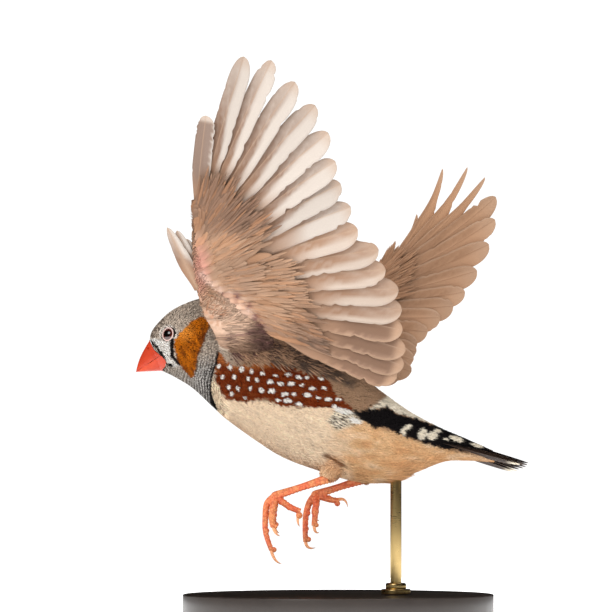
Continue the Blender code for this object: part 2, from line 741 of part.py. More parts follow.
class Wing:
    """One wing: its flesh and the fan of its feathers, all laid on one plane."""

    def __init__(self, name, plane, flesh, bones, primaries, secondaries, alula, dorsal, bows, scale):
        self.name = name
        self.alula = alula
        self.scale = scale
        self.chance = random.Random(CHANCE_SEED)
        self.offset, self.lean, self.sweep = plane
        self.flesh = flesh
        self.elbow, self.wrist, self.finger = bones
        self.primaries = primaries
        self.secondaries = secondaries
        self.dorsal = dorsal
        self.bows = bows
        self.face = Vector((self.sweep, -1.0, self.lean)).normalized()

    def on(self, spot, height=0.0):
        """The point of the wing's surface over an (x, z), raised along its near face."""
        x, z = spot
        return Vector((x, self.offset + self.lean * z + self.sweep * x, z)) + self.face * height

    def body(self):
        """The wing's flesh as one closed body, from inside the shoulder to the last finger."""
        rings = []
        steps = 2 * (len(self.flesh) - 1)
        fronts = [self.on(front) for front, _, _ in self.flesh]
        backs = [self.on(back) for _, back, _ in self.flesh]
        for points in (fronts, backs):
            points[0].y = self.dorsal * ROOT_DEPTH
        depths = [Vector((thick, 0, 0)) for _, _, thick in self.flesh]
        for step in range(steps + 1):
            place = step / 2
            front, back = spline(fronts, place), spline(backs, place)
            thick = spline(depths, place).x
            centre, reach = (front + back) / 2, (front - back) / 2
            turns = [2 * math.pi * k / FLESH_SIDES for k in range(FLESH_SIDES)]
            rings.append(
                [
                    centre + reach * math.cos(a) + self.face * (thick / 2 * math.sin(a))
                    for a in turns
                ]
            )
        return loft(self.name, rings)

    def roots(self):
        """Root of each feather, primaries outwards and then secondaries inwards."""
        hand = [mid_of(self.wrist, self.finger, (k + 0.5) / 9) for k in range(9)]
        arm = [mid_of(self.wrist, self.elbow, (k + 0.5) / 9) for k in range(9)]
        return hand, arm

    def vane(
        self, root, tip, width, height=0.0, lift=0.0, tilt=SHINGLE, outline=FLIGHT_OUTLINE, bow=0.0
    ):
        """One feather laid on the wing's surface, its leading edge turned to the wing's upper side."""
        near, far = self.on(root, height), self.on(tip, height)
        lead = self.face.cross(far - near)
        width *= self.chance.uniform(0.96, 1.04)
        return vane(
            self.name + "_vane", near, far, lead, width, self.dorsal * tilt, bow, lift, outline
        )

    def flights(self):
        """Primaries and secondaries, each overlapping the next like roof tiles."""
        hand, arm = self.roots()
        inner, outer = self.bows
        made = []
        for k, (root, tip) in enumerate(zip(hand, self.primaries)):
            outwards = (k / 8) ** 2
            width = PRIMARY_WIDTH * self.scale * (1 - SLIMMER_OUTSIDE * outwards)
            notched = self.dorsal > 0 and k >= NOTCHED_FROM
            outline = NOTCHED_OUTLINE if notched else FLIGHT_OUTLINE
            bow = inner + (outer - inner) * outwards
            made.append(self.vane(root, tip, width, outline=outline, bow=bow))
        for root, tip in zip(arm, self.secondaries):
            made.append(self.vane(root, tip, SECONDARY_WIDTH * self.scale, bow=inner))
        return made

    def coverts(self, height, lift):
        """One tier of coverts over the roots of the flight feathers, on one side of the wing."""
        hand, arm = self.roots()
        inner, outer = self.bows
        made = []
        for k, (root, tip) in enumerate(zip(hand + arm, self.primaries + self.secondaries)):
            outside = k / 8 if k < 9 else 0.0
            bow = inner + (outer - inner) * outside**2
            share = COVERT_SHARE * self.chance.uniform(0.94, 1.06)
            share *= 1 - COVERT_SHORTER_OUTSIDE * outside
            straight = mid_of(root, tip, share)
            bend = bow * (share * share - share)
            end = (
                straight[0] - (tip[1] - root[1]) * bend,
                straight[1] + (tip[0] - root[0]) * bend,
            )
            width = COVERT_WIDTH * self.scale * (1 - COVERT_SLIMMER_OUTSIDE * outside)
            made.append(self.vane(root, end, width, height, lift, COVERT_SHINGLE, COVERT_OUTLINE))
        return made

    def thumb(self):
        """The three feathers of the alula, in front of the wrist."""
        return [
            self.vane(root, tip, ALULA_WIDTH, height, 0.0, COVERT_SHINGLE, COVERT_OUTLINE)
            for (root, tip), height in zip(self.alula, ALULA_HEIGHTS)
        ]

    def feathers(self):
        """All feathers of the wing."""
        over = self.coverts(COVERT_ROOT_HEIGHT, COVERT_LIFT)
        under = self.coverts(-COVERT_ROOT_HEIGHT, -COVERT_LIFT)
        return self.flights() + over + under + self.thumb()


def build_wings(plumage):
    """Both wings."""
    wings = (
        Wing(
            "wing_left",
            LEFT_PLANE,
            LEFT_FLESH,
            LEFT_BONES,
            LEFT_PRIMARIES,
            LEFT_SECONDARIES,
            LEFT_ALULA,
            -1,
            LEFT_BOWS,
            1.0,
        ),
        Wing(
            "wing_right",
            RIGHT_PLANE,
            RIGHT_FLESH,
            RIGHT_BONES,
            RIGHT_PRIMARIES,
            RIGHT_SECONDARIES,
            RIGHT_ALULA,
            1,
            RIGHT_BOWS,
            RIGHT_SCALE,
        ),
    )
    for wing in wings:
        flesh = wing.body()
        fuse(flesh, wing.feathers())
        cut(flesh, [clear_of_body()])
        dress(flesh, plumage["brown"])


def build_leg(side, joints, toes, claws, plumage):
    """Thigh, shank and foot of one side."""
    hip, heel, foot = (Vector(p) for p in joints)
    along = (foot - heel).normalized()
    thigh = tube("thigh_" + side, [hip, hip.lerp(heel, 0.5), heel], THIGH_RADII, THIGH_SIDES)
    room = TARSUS_RADIUS * 1.2 + GAP
    shank_room = tube("room", [heel + along * GAP * 0.5, heel.lerp(foot, 0.5), foot], (room,) * 3, SHANK_SIDES)
    cut(thigh, [clear_of_body(), shank_room])
    dress(thigh, plumage["buff"])
    shank = tube(
        "leg_" + side,
        [heel + along * GAP * 1.5, heel.lerp(foot, 0.5), foot],
        (TARSUS_RADIUS * 1.2, TARSUS_RADIUS * 0.9, TARSUS_RADIUS * 1.1),
        SHANK_SIDES,
        flat=SHANK_FLAT,
    )
    pad = ball("pad", foot + along * 0.4, TARSUS_RADIUS * 1.15)
    pieces = [pad]
    for joints, (bend, point) in zip(toes, claws):
        joints = [Vector(p) for p in joints]
        start = [foot + along * 0.4] + joints
        radii = [TOE_RADIUS * 1.05] + [TOE_RADIUS * (1 - TOE_TAPER * k) for k in range(len(joints))]
        pieces.append(tube("toe", start, radii, TOE_SIDES, per_span=1))
        end, before = joints[-1], joints[-2]
        pieces.append(
            tube(
                "claw",
                [end.lerp(before, 0.12), Vector(bend), Vector(point)],
                (CLAW_RADIUS * 1.25, CLAW_RADIUS * 0.8, CLAW_POINT_RADIUS),
                CLAW_SIDES,
                tip=True,
            )
        )
    fuse(shank, pieces)
    dress(shank, plumage["leg"])


def build_legs(plumage):
    """Both legs."""
    build_leg("left", LEFT_LEG, LEFT_TOES, LEFT_CLAWS, plumage)
    build_leg("right", RIGHT_LEG, RIGHT_TOES, RIGHT_CLAWS, plumage)


def main():
    """Clears the scene and builds the bird on its stand."""
    for obj in list(bpy.data.objects):
        bpy.data.objects.remove(obj)
    plumage = {
        "grey": material("grey_plumage", (0.2, 0.19, 0.18), 0.8),
        "buff": material("buff_plumage", (0.6, 0.45, 0.3), 0.8),
        "brown": material("brown_plumage", (0.3, 0.22, 0.16), 0.75),
        "black": material("black_plumage", (0.04, 0.035, 0.03), 0.75),
        "bill": material("bill_horn", (0.75, 0.16, 0.04), 0.35),
        "leg": material("leg_skin", (0.8, 0.25, 0.1), 0.5),
        "eye": material("eye_glass", (0.03, 0.008, 0.005), 0.08),
    }
    build_stand()
    head, _, _ = build_trunk(plumage)
    build_eyes(head, plumage)
    build_bill(plumage)
    build_tail(plumage)
    build_wings(plumage)
    build_legs(plumage)


main()
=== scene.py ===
"""The looks of a life-size zebra finch cock in flight, held on its display stand.

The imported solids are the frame: metres, +Z up, the bird facing -X with its left side towards -Y. Sizes here
are in millimetres, as in the part's source, and are scaled when a mesh is made. One skin takes the place of
the flesh, the coat of tufts grows from it, and the flight and tail feathers are vanes of their own.
"""

import logging
import math
from dataclasses import astuple, dataclass, replace
from enum import Enum
from typing import Callable

import bpy
import numpy as np
from mathutils import Matrix, Vector
from mathutils.kdtree import KDTree


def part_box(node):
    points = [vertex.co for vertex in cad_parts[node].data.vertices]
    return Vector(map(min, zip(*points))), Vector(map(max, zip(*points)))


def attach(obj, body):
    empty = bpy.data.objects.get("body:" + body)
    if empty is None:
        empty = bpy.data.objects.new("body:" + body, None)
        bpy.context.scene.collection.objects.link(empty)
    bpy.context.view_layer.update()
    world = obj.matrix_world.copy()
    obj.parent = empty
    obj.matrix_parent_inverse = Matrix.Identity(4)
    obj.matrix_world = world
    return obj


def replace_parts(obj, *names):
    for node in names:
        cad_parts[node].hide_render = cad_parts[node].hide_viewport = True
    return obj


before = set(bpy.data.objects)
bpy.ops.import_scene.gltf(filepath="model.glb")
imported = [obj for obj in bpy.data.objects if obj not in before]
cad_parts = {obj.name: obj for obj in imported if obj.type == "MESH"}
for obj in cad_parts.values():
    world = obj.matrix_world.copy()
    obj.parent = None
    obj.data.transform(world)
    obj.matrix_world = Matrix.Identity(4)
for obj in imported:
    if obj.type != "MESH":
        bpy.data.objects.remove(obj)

MM = 0.001
BODY = "root"
TINT = "tint"
BAKE_MAP = "OFBake"
BARB_MAP = "barbs"
WHITE = (1, 1, 1, 1)
PRIMARIES = 9
Array = np.ndarray
Painter = Callable[[Array, Array], Array]
Cell = tuple[float, float, float, float]
log = logging.getLogger("zebra_finch")


class Tone(Enum):
    """Colours of the plumage, the bare parts and the stand, as a studio shows them, from 0 to 255."""

    CROWN = (208, 190, 172)
    SPECKLE = (98, 82, 70)
    LORE = (255, 247, 238)
    INK = (26, 21, 21)
    CHEEK = (214, 118, 16)
    CHEEK_PALE = (240, 152, 56)
    CHEEK_DARK = (126, 60, 12)
    BACK = (167, 132, 103)
    CREAM = (248, 220, 188)
    BUFF = (230, 184, 136)
    RUST = (216, 150, 96)
    THIGH = (255, 210, 164)
    CHESTNUT = (114, 43, 9)
    CHESTNUT_PALE = (178, 104, 56)
    SPOT = (250, 245, 238)
    RUMP = (238, 226, 204)
    COAL = (20, 16, 17)
    BAR_PALE = (214, 208, 202)
    VANE = (205, 194, 184)
    ARM = (222, 188, 164)
    VANE_WARM = (184, 154, 130)
    BAND = (141, 110, 90)
    BAND_DARK = (118, 90, 74)
    LINING = (187, 146, 115)
    FOREARM = (236, 204, 188)
    STREAK = (190, 132, 88)
    PINK = (206, 142, 128)
    PLUM = (112, 70, 72)
    # Painted shade for the hollows under the wings
    SHADE = (74, 62, 56)
    FAR = (177, 133, 100)
    FAR_DARK = (140, 104, 78)
    TAIL = (62, 50, 44)
    BILL = (188, 55, 17)
    BILL_LOW = (202, 64, 16)
    BILL_EDGE = (190, 60, 28)
    LEG = (224, 144, 90)
    LEG_RED = (222, 110, 68)
    CLAW = (246, 172, 120)
    CLAW_TIP = (196, 140, 104)
    LID = (208, 190, 182)
    IRIS = (64, 20, 15)
    PUPIL = (8, 6, 6)
    WOOD = (62, 52, 46)
    WOOD_DARK = (38, 31, 27)
    BRASS = (214, 184, 124)

    def linear(self) -> Array:
        """The colour in linear light."""
        value = np.array(self.value) / 255.0
        return np.where(value <= 0.04045, value / 12.92, ((value + 0.055) / 1.055) ** 2.4)

    def rgba(self) -> tuple[float, float, float, float]:
        """The colour for a shader's socket."""
        return (*self.linear().tolist(), 1.0)


Colour = Tone | Array


class Face(Enum):
    """A wing's two faces."""

    CAMERA = 1
    BODYWARD = -1


def unit(vectors: Array) -> Array:
    """Vectors at length one."""
    return vectors / np.maximum(np.linalg.norm(vectors, axis=-1, keepdims=True), 1e-9)


def smooth(values: Array | float) -> Array:
    """Eases values from 0 to 1."""
    values = np.clip(values, 0.0, 1.0)
    return values * values * (3 - 2 * values)


def border(inside: Array, width: float) -> Array:
    """A soft border: 0 outside it and 1 inside, from how far inside a point lies and the border's width."""
    return smooth(inside / width + 0.5)


def mix(first: Colour, second: Colour, share: Array | float) -> Array:
    """Goes from the first colours to the second by a share of the same shape without the last axis."""
    first, second = (tone.linear() if isinstance(tone, Tone) else tone for tone in (first, second))
    share = np.asarray(share)[..., None]
    return first * (1 - share) + second * share


def spline(points: Array, places: Array | float) -> Array:
    """Points on the Catmull-Rom curve through some points.

    Args:
        points: one row for each point that the curve passes.
        places: where to read it, counted in points.

    Returns:
        One row for each place.
    """
    points = np.asarray(points, float)
    last = len(points) - 1
    places = np.clip(np.asarray(places, float), 0, last)
    index = np.minimum(places.astype(int), last - 1)
    share = (places - index)[..., None]
    before, start, end, after = (points[np.clip(index + step, 0, last)] for step in (-1, 0, 1, 2))
    return 0.5 * (
        2 * start
        + (end - before) * share
        + (2 * before - 5 * start + 4 * end - after) * share**2
        + (3 * start - before - 3 * end + after) * share**3
    )


def height_at(line: Array, x: Array) -> Array:
    """The height at some x of a line through (x, z) points, drawn from left to right."""
    across, up = np.array(line, float).T
    return np.interp(x, across, up)


def ellipses(centre: Array, first: Array, second: Array, columns: int) -> Array:
    """Rings of points round some centres, from the two half axes of each."""
    turns = 2 * math.pi * np.arange(columns) / columns
    return (
        centre[:, None]
        + first[:, None] * np.cos(turns)[None, :, None]
        + second[:, None] * np.sin(turns)[None, :, None]
    )


class Mottle:
    """Smooth seeded noise over two coordinates, from -1 to 1."""

    def __init__(self, seed: int, size: int = 97) -> None:
        """Draws the table of random values."""
        self.size = size
        self.table = np.random.default_rng(seed).uniform(-1, 1, (size, size))

    def at(self, u: Array, v: Array) -> Array:
        """The noise at some places, one unit from one random value to the next."""
        low_u, low_v = np.floor(u).astype(int), np.floor(v).astype(int)
        share_u, share_v = smooth(u - low_u), smooth(v - low_v)
        read = lambda i, j: self.table[(low_u + i) % self.size, (low_v + j) % self.size]
        near = read(0, 0) * (1 - share_v) + read(0, 1) * share_v
        far = read(1, 0) * (1 - share_v) + read(1, 1) * share_v
        return near * (1 - share_u) + far * share_u


def edge_distance(outline: Array, x: Array, z: Array, closed: bool = False) -> Array:
    """Distance from some points to a drawn line, positive on the inside where the line is closed."""
    corners = np.asarray(outline, float)
    ends = np.roll(corners, -1, 0) if closed else corners[1:]
    starts = corners if closed else corners[:-1]
    nearest = np.full(np.shape(x), 1e9)
    inside = np.zeros(np.shape(x), bool)
    for (ax, az), (bx, bz) in zip(starts, ends):
        span_x, span_z = bx - ax, bz - az
        share = ((x - ax) * span_x + (z - az) * span_z) / (span_x**2 + span_z**2)
        share = np.clip(share, 0, 1)
        nearest = np.minimum(nearest, np.hypot(x - ax - share * span_x, z - az - share * span_z))
        if closed and az != bz:
            crosses = ((az > z) != (bz > z)) & (x < span_x * (z - az) / span_z + ax)
            inside ^= crosses
    return np.where(inside, nearest, -nearest) if closed else nearest


class Surface:
    """A rounded body read from a table: rows run along it and columns go round it."""

    def __init__(self, points: Array) -> None:
        """Works out the outward direction and the table's paces in millimetres."""
        self.points = points
        self.rows, self.columns = points.shape[:2]
        along = np.gradient(points, axis=0)
        around = (np.roll(points, -1, 1) - np.roll(points, 1, 1)) / 2
        normals = unit(np.cross(around, along))
        outwards = points - points.mean(axis=1, keepdims=True)
        self.normals = normals * np.sign((normals * outwards).sum())
        self.row_pace = np.linalg.norm(along, axis=-1, keepdims=True)
        self.column_pace = np.linalg.norm(around, axis=-1, keepdims=True)

    def read(self, table: Array, rows: Array, columns: Array) -> Array:
        """Reads a table between its rows and columns."""
        rows = np.clip(rows, 0, self.rows - 1.001)
        columns = columns % self.columns
        low, left = rows.astype(int), columns.astype(int) % self.columns
        right = (left + 1) % self.columns
        down, over = (rows - low)[..., None], (columns - np.floor(columns))[..., None]
        near = table[low, left] * (1 - over) + table[low, right] * over
        far = table[low + 1, left] * (1 - over) + table[low + 1, right] * over
        return near * (1 - down) + far * down

    def at(self, rows: Array, columns: Array) -> tuple[Array, Array]:
        """Points and outward directions."""
        return self.read(self.points, rows, columns), unit(self.read(self.normals, rows, columns))

    def paces(self, rows: Array, columns: Array) -> tuple[Array, Array]:
        """Millimetres from one row and from one column to the next."""
        row = self.read(self.row_pace, rows, columns)[..., 0]
        column = self.read(self.column_pace, rows, columns)[..., 0]
        return np.maximum(row, 1e-3), np.maximum(column, 1e-3)

    def sunk(self, depth: float) -> Array:
        """The table's points moved inwards."""
        return self.points - self.normals * depth


@dataclass
class Parts:
    """Triangles of many small pieces, with a colour and a place on the bake map for each point."""

    points: Array
    faces: Array
    tint: Array
    bake: Array
    barbs: Array | None = None

    @staticmethod
    def joined(parts: list["Parts"]) -> "Parts":
        """All parts as one."""
        starts = np.cumsum([0] + [len(p.points) for p in parts[:-1]])
        barbs = None if parts[0].barbs is None else np.concatenate([p.barbs for p in parts])
        return Parts(
            np.concatenate([p.points for p in parts]),
            np.concatenate([p.faces + start for p, start in zip(parts, starts)]),
            np.concatenate([p.tint for p in parts]),
            np.concatenate([p.bake for p in parts]),
            barbs,
        )


class Workshop:
    """Makes mesh objects at the origin, from arrays or from shaped primitives."""

    @staticmethod
    def from_parts(name: str, parts: Parts, material: bpy.types.Material) -> bpy.types.Object:
        """One object from joined parts.

        Args:
            name: the piece's name.
            parts: its triangles in millimetres.
            material: its finish.

        Returns:
            The linked object, riding on the body.
        """
        mesh = bpy.data.meshes.new(name)
        mesh.vertices.add(len(parts.points))
        mesh.vertices.foreach_set("co", (parts.points * MM).astype(np.float32).ravel())
        mesh.loops.add(len(parts.faces) * 3)
        mesh.loops.foreach_set("vertex_index", parts.faces.astype(np.int32).ravel())
        mesh.polygons.add(len(parts.faces))
        mesh.polygons.foreach_set("loop_start", np.arange(0, len(parts.faces) * 3, 3, dtype=np.int32))
        mesh.update(calc_edges=True)
        corners = parts.faces.ravel()
        for map_name, places in ((BAKE_MAP, parts.bake), (BARB_MAP, parts.barbs)):
            if places is not None:
                layer = mesh.uv_layers.new(name=map_name)
                layer.data.foreach_set("uv", places[corners].astype(np.float32).ravel())
        Workshop.tint(mesh, parts.tint)
        mesh.shade_smooth()
        mesh.materials.append(material)
        obj = bpy.data.objects.new(name, mesh)
        bpy.context.scene.collection.objects.link(obj)
        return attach(obj, BODY)

    @staticmethod
    def tint(mesh: bpy.types.Mesh, colours: Array) -> None:
        """Stores a colour for each point."""
        layer = mesh.attributes.get(TINT) or mesh.attributes.new(TINT, "FLOAT_COLOR", "POINT")
        rgba = np.concatenate([colours, np.ones((len(colours), 1))], axis=1)
        layer.data.foreach_set("color", rgba.astype(np.float32).ravel())

    @staticmethod
    def clear_selection() -> None:
        """Leaves edit mode with nothing selected."""
        if bpy.context.object and bpy.context.object.mode != "OBJECT":
            bpy.ops.object.mode_set(mode="OBJECT")
        bpy.ops.object.select_all(action="DESELECT")

    @staticmethod
    def pick(*objects: bpy.types.Object) -> None:
        """Selects objects and makes the first one active."""
        Workshop.clear_selection()
        for obj in objects:
            obj.select_set(True)
        bpy.context.view_layer.objects.active = objects[0]

    @staticmethod
    def primitive(
        add: Callable, name: str, scale: tuple[float, float, float] = (1, 1, 1), **sizes: object
    ) -> bpy.types.Object:
        """A primitive with its place, turn and scale applied.

        Args:
            add: Blender's operator for it.
            name: the object's name.
            scale: how far it is stretched along each axis.
            sizes: the operator's settings.

        Returns:
            The object.
        """
        Workshop.clear_selection()
        add(**sizes)
        obj = bpy.context.object
        obj.name = obj.data.name = name
        obj.scale = scale
        bpy.ops.object.transform_apply(location=True, rotation=True, scale=True)
        return obj

    @staticmethod
    def points(obj: bpy.types.Object) -> Array:
        """An object's points, one row for each."""
        flat = np.zeros(len(obj.data.vertices) * 3)
        obj.data.vertices.foreach_get("co", flat)
        return flat.reshape(-1, 3)

    @staticmethod
    def shaped(
        name: str, rows: int, columns: int, place: Callable[[Array, Array], Array]
    ) -> bpy.types.Object:
        """A grid wrapped into a closed body.

        Args:
            name: the object's name.
            rows: faces along the body.
            columns: faces round the body.
            place: gives points in millimetres for shares along and around.

        Returns:
            The object, with its seam and poles merged and its faces turned outwards.
        """
        grid = bpy.ops.mesh.primitive_grid_add
        obj = Workshop.primitive(grid, name, x_subdivisions=rows, y_subdivisions=columns, size=1.0)
        shares = np.clip(Workshop.points(obj) + 0.5, 0, 1)
        obj.data.vertices.foreach_set("co", (place(shares[:, 0], shares[:, 1]) * MM).ravel())
        Workshop.mend(obj)
        return obj

    @staticmethod
    def mend(obj: bpy.types.Object, reach: float = 2e-6) -> None:
        """Merges doubles and turns the faces outwards."""
        Workshop.pick(obj)
        bpy.ops.object.mode_set(mode="EDIT")
        bpy.ops.mesh.select_all(action="SELECT")
        bpy.ops.mesh.remove_doubles(threshold=reach)
        bpy.ops.mesh.normals_make_consistent(inside=False)
        bpy.ops.object.mode_set(mode="OBJECT")

    @staticmethod
    def apply(obj: bpy.types.Object, kind: str, **settings: object) -> None:
        """Adds a modifier and applies it."""
        Workshop.pick(obj)
        modifier = obj.modifiers.new(kind.lower(), kind)
        for key, value in settings.items():
            setattr(modifier, key, value)
        bpy.ops.object.modifier_apply(modifier=modifier.name)

    @staticmethod
    def join(name: str, objects: list[bpy.types.Object]) -> bpy.types.Object:
        """Joins objects into the first one."""
        Workshop.pick(*objects)
        bpy.ops.object.join()
        obj = bpy.context.object
        obj.name = obj.data.name = name
        return obj

    @staticmethod
    def finish(obj: bpy.types.Object, material: bpy.types.Material, angle: float = 50.0) -> bpy.types.Object:
        """Shades an object, gives it its finish and lets it ride."""
        Workshop.pick(obj)
        bpy.ops.object.shade_smooth_by_angle(angle=math.radians(angle))
        obj.data.materials.clear()
        obj.data.materials.append(material)
        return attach(obj, BODY)


class Wire:
    """A shader socket on which Python's operators build Math nodes."""

    def __init__(self, board: "Board", socket: bpy.types.NodeSocket) -> None:
        """Keeps the board and the socket."""
        self.board = board
        self.socket = socket

    def math(self, operation: str, *values: "Wire | float") -> "Wire":
        """One Math node on some values."""
        return self.board.node("ShaderNodeMath", {"operation": operation}, dict(enumerate(values)))

    def __add__(self, other: "Wire | float") -> "Wire":
        """Sum."""
        return self.math("ADD", self, other)

    def __radd__(self, other: float) -> "Wire":
        """Sum with a number on the left."""
        return self.math("ADD", other, self)

    def __sub__(self, other: "Wire | float") -> "Wire":
        """Difference."""
        return self.math("SUBTRACT", self, other)

    def __rsub__(self, other: float) -> "Wire":
        """Difference from a number."""
        return self.math("SUBTRACT", other, self)

    def __mul__(self, other: "Wire | float") -> "Wire":
        """Product."""
        return self.math("MULTIPLY", self, other)

    def __rmul__(self, other: float) -> "Wire":
        """Product with a number on the left."""
        return self.math("MULTIPLY", other, self)

    def __abs__(self) -> "Wire":
        """Size without sign."""
        return self.math("ABSOLUTE", self)

    def sine(self) -> "Wire":
        """Sine of an angle."""
        return self.math("SINE", self)


class Board:
    """A material with a Principled shader and the nodes that feed it."""

    def __init__(self, name: str, **constants: object) -> None:
        """Starts the material and sets the shader's own sockets."""
        self.material = bpy.data.materials.new(name)
        self.material.use_nodes = True
        self.tree = self.material.node_tree
        self.shader = self.tree.nodes["Principled BSDF"]
        for key, value in constants.items():
            self.shader.inputs[key.replace("_", " ")].default_value = value

    def node(
        self, kind: str, settings: dict[str, object], values: dict[str | int, object], output: str | int = 0
    ) -> Wire:
        """One node.

        Args:
            kind: the node's type.
            settings: properties that are set first; stops gives a ramp's places and colours.
            values: numbers, colours or wires for its inputs, by name or number.
            output: the output to read.

        Returns:
            The wire from that output.
        """
        made = self.tree.nodes.new(kind)
        for key, value in settings.items():
            if key == "stops":
                self.set_ramp(made.color_ramp, value)
            else:
                setattr(made, key, value)
        for key, value in values.items():
            if isinstance(value, Wire):
                self.tree.links.new(value.socket, made.inputs[key])
            else:
                made.inputs[key].default_value = value
        return Wire(self, made.outputs[output])

    @staticmethod
    def set_ramp(ramp: bpy.types.ColorRamp, stops: list[tuple[float, tuple[float, ...]]]) -> None:
        """Sets a colour ramp's stops."""
        while len(ramp.elements) < len(stops):
            ramp.elements.new(1.0)
        for element, (place, colour) in zip(ramp.elements, stops):
            element.position = place
            element.color = colour

    def tint(self) -> Wire:
        """The colour stored on the mesh."""
        return self.node("ShaderNodeAttribute", {"attribute_name": TINT}, {}, "Color")

    def place(self) -> Wire:
        """Object coordinates."""
        return self.node("ShaderNodeTexCoord", {}, {}, "Object")

    def noise(self, scale: float, detail: float = 2.0, place: Wire | None = None) -> Wire:
        """Noise of a number of lumps in each metre."""
        place = place or self.place()
        return self.node("ShaderNodeTexNoise", {}, {"Vector": place, "Scale": scale, "Detail": detail}, "Fac")

    def blend(self, first: object, second: object, factor: object, mode: str = "MIX") -> Wire:
        """A Mix node on two colours."""
        settings = {"data_type": "RGBA", "blend_type": mode}
        return self.node("ShaderNodeMix", settings, {0: factor, 6: first, 7: second}, 2)

    def ramp(self, factor: Wire, stops: list[tuple[float, tuple[float, ...]]]) -> Wire:
        """A colour ramp."""
        return self.node("ShaderNodeValToRGB", {"stops": stops}, {0: factor}, "Color")

    def shade(self, factor: Wire, low: float, high: float, dark: tuple[float, float, float]) -> Wire:
        """A ramp from a dark shade to white."""
        return self.ramp(factor, [(low, (*dark, 1)), (high, WHITE)])

    def paint(self, colour: object, shade: Wire) -> None:
        """Feeds a colour, darkened by a shade, into the base colour."""
        self.feed("Base Color", self.blend(colour, shade, 1.0, "MULTIPLY"))

    def bump(self, height: Wire, strength: float, distance: float) -> None:
        """Feeds a height into the shader's normal."""
        values = {"Height": height, "Strength": strength, "Distance": distance}
        self.feed("Normal", self.node("ShaderNodeBump", {}, values, "Normal"))

    def feed(self, socket: str, wire: Wire) -> None:
        """Feeds one of the shader's sockets."""
        self.tree.links.new(wire.socket, self.shader.inputs[socket])


@dataclass(frozen=True)
class CoatFinish:
    """Small soft feathers: the stored markings, matt."""

    name: str = "coat"
    roughness: float = 0.8
    grain: float = 0.1

    def material(self) -> bpy.types.Material:
        """Builds the finish."""
        board = Board(self.name, Roughness=self.roughness, Specular_IOR_Level=0.08)
        grain = board.noise(2600.0, 1.0)
        board.paint(board.tint(), board.shade(grain, 0.25, 0.75, (1 - self.grain,) * 3))
        return board.material


@dataclass(frozen=True)
class VaneFinish:
    """Flight and tail feathers: the stored bands with the fine slanted barbs of both webs."""

    name: str = "vanes"
    barbs_per_unit: float = 21.0
    slant: float = 1.3
    contrast: float = 0.16

    def material(self) -> bpy.types.Material:
        """Builds the finish."""
        board = Board(self.name, Roughness=0.6, Specular_IOR_Level=0.14)
        place = board.node("ShaderNodeUVMap", {"uv_map": BARB_MAP}, {}, "UV")
        across = board.node("ShaderNodeSeparateXYZ", {}, {0: place}, "X")
        along = board.node("ShaderNodeSeparateXYZ", {}, {0: place}, "Y")
        wander = board.noise(6.0, 2.0, place)
        phase = (along - abs(across) * self.slant + wander * 0.06) * (self.barbs_per_unit * 2 * math.pi)
        wave = phase.sine() * 0.5 + 0.5
        clumps = board.noise(26.0, 2.0, place)
        shade = board.shade(wave * 0.5 + clumps * 0.5, 0.2, 0.8, (1 - self.contrast,) * 3)
        board.paint(board.tint(), shade)
        board.bump(wave, 0.35, 0.00006)
        return board.material


@dataclass(frozen=True)
class SkinFinish:
    """The skin under the coat, in the coat's own markings."""

    name: str = "skin"

    def material(self) -> bpy.types.Material:
        """Builds the finish."""
        board = Board(self.name, Roughness=0.6, Specular_IOR_Level=0.3)
        lumps = board.noise(900.0, 3.0)
        board.paint(board.tint(), board.shade(lumps, 0.3, 0.7, (0.8, 0.8, 0.8)))
        board.bump(lumps, 0.3, 0.0002)
        return board.material


@dataclass(frozen=True)
class BillFinish:
    """Waxy horn, redder and darker at the base."""

    name: str
    body: Tone
    edge: Tone
    root_x: float = -50.6
    reach: float = 3.4

    def material(self) -> bpy.types.Material:
        """Builds the finish."""
        gloss = {"Roughness": 0.4, "Specular_IOR_Level": 0.35, "Coat_Weight": 0.08, "Coat_Roughness": 0.25}
        board = Board(self.name, **gloss)
        board.shader.inputs["Subsurface Weight"].default_value = 0.03
        board.shader.inputs["Subsurface Radius"].default_value = (0.0012, 0.0003, 0.0001)
        place = board.place()
        x = board.node("ShaderNodeSeparateXYZ", {}, {0: place}, "X")
        depth = (x - self.root_x * MM) * (1 / (self.reach * MM)) + board.noise(1500.0) * 0.25
        colour = board.ramp(depth, [(0.0, self.body.rgba()), (1.0, self.edge.rgba())])
        cloud = board.noise(420.0, 2.0)
        board.paint(colour, board.shade(cloud, 0.3, 0.7, (0.86, 0.76, 0.7)))
        board.bump(board.noise(2400.0, 3.0), 0.15, 0.00008)
        return board.material


@dataclass(frozen=True)
class EyeFinish:
    """A dark red-brown iris round a black pupil, under a clear wet front."""

    name: str = "eye"

    def material(self) -> bpy.types.Material:
        """Builds the finish."""
        board = Board(self.name, Roughness=0.05, Specular_IOR_Level=0.6, Coat_Weight=1.0, Coat_Roughness=0.02)
        place = board.node("ShaderNodeUVMap", {}, {}, "UV")
        height = board.node("ShaderNodeSeparateXYZ", {}, {0: place}, "Y")
        iris, pupil, rim = Tone.IRIS.rgba(), Tone.PUPIL.rgba(), Tone.INK.rgba()
        stops = [(0.0, rim), (0.77, rim), (0.8, iris), (0.855, iris), (0.875, pupil)]
        board.feed("Base Color", board.ramp(height, stops))
        return board.material


@dataclass(frozen=True)
class LidFinish:
    """The bare pale rim round the eye."""

    name: str = "lid"

    def material(self) -> bpy.types.Material:
        """Builds the finish."""
        board = Board(self.name, Roughness=0.5, Specular_IOR_Level=0.4)
        lumps = board.noise(3000.0, 2.0)
        board.feed("Base Color", board.blend(Tone.PINK.rgba(), Tone.LID.rgba(), lumps * 0.6 + 0.4))
        board.bump(lumps, 0.3, 0.0001)
        return board.material


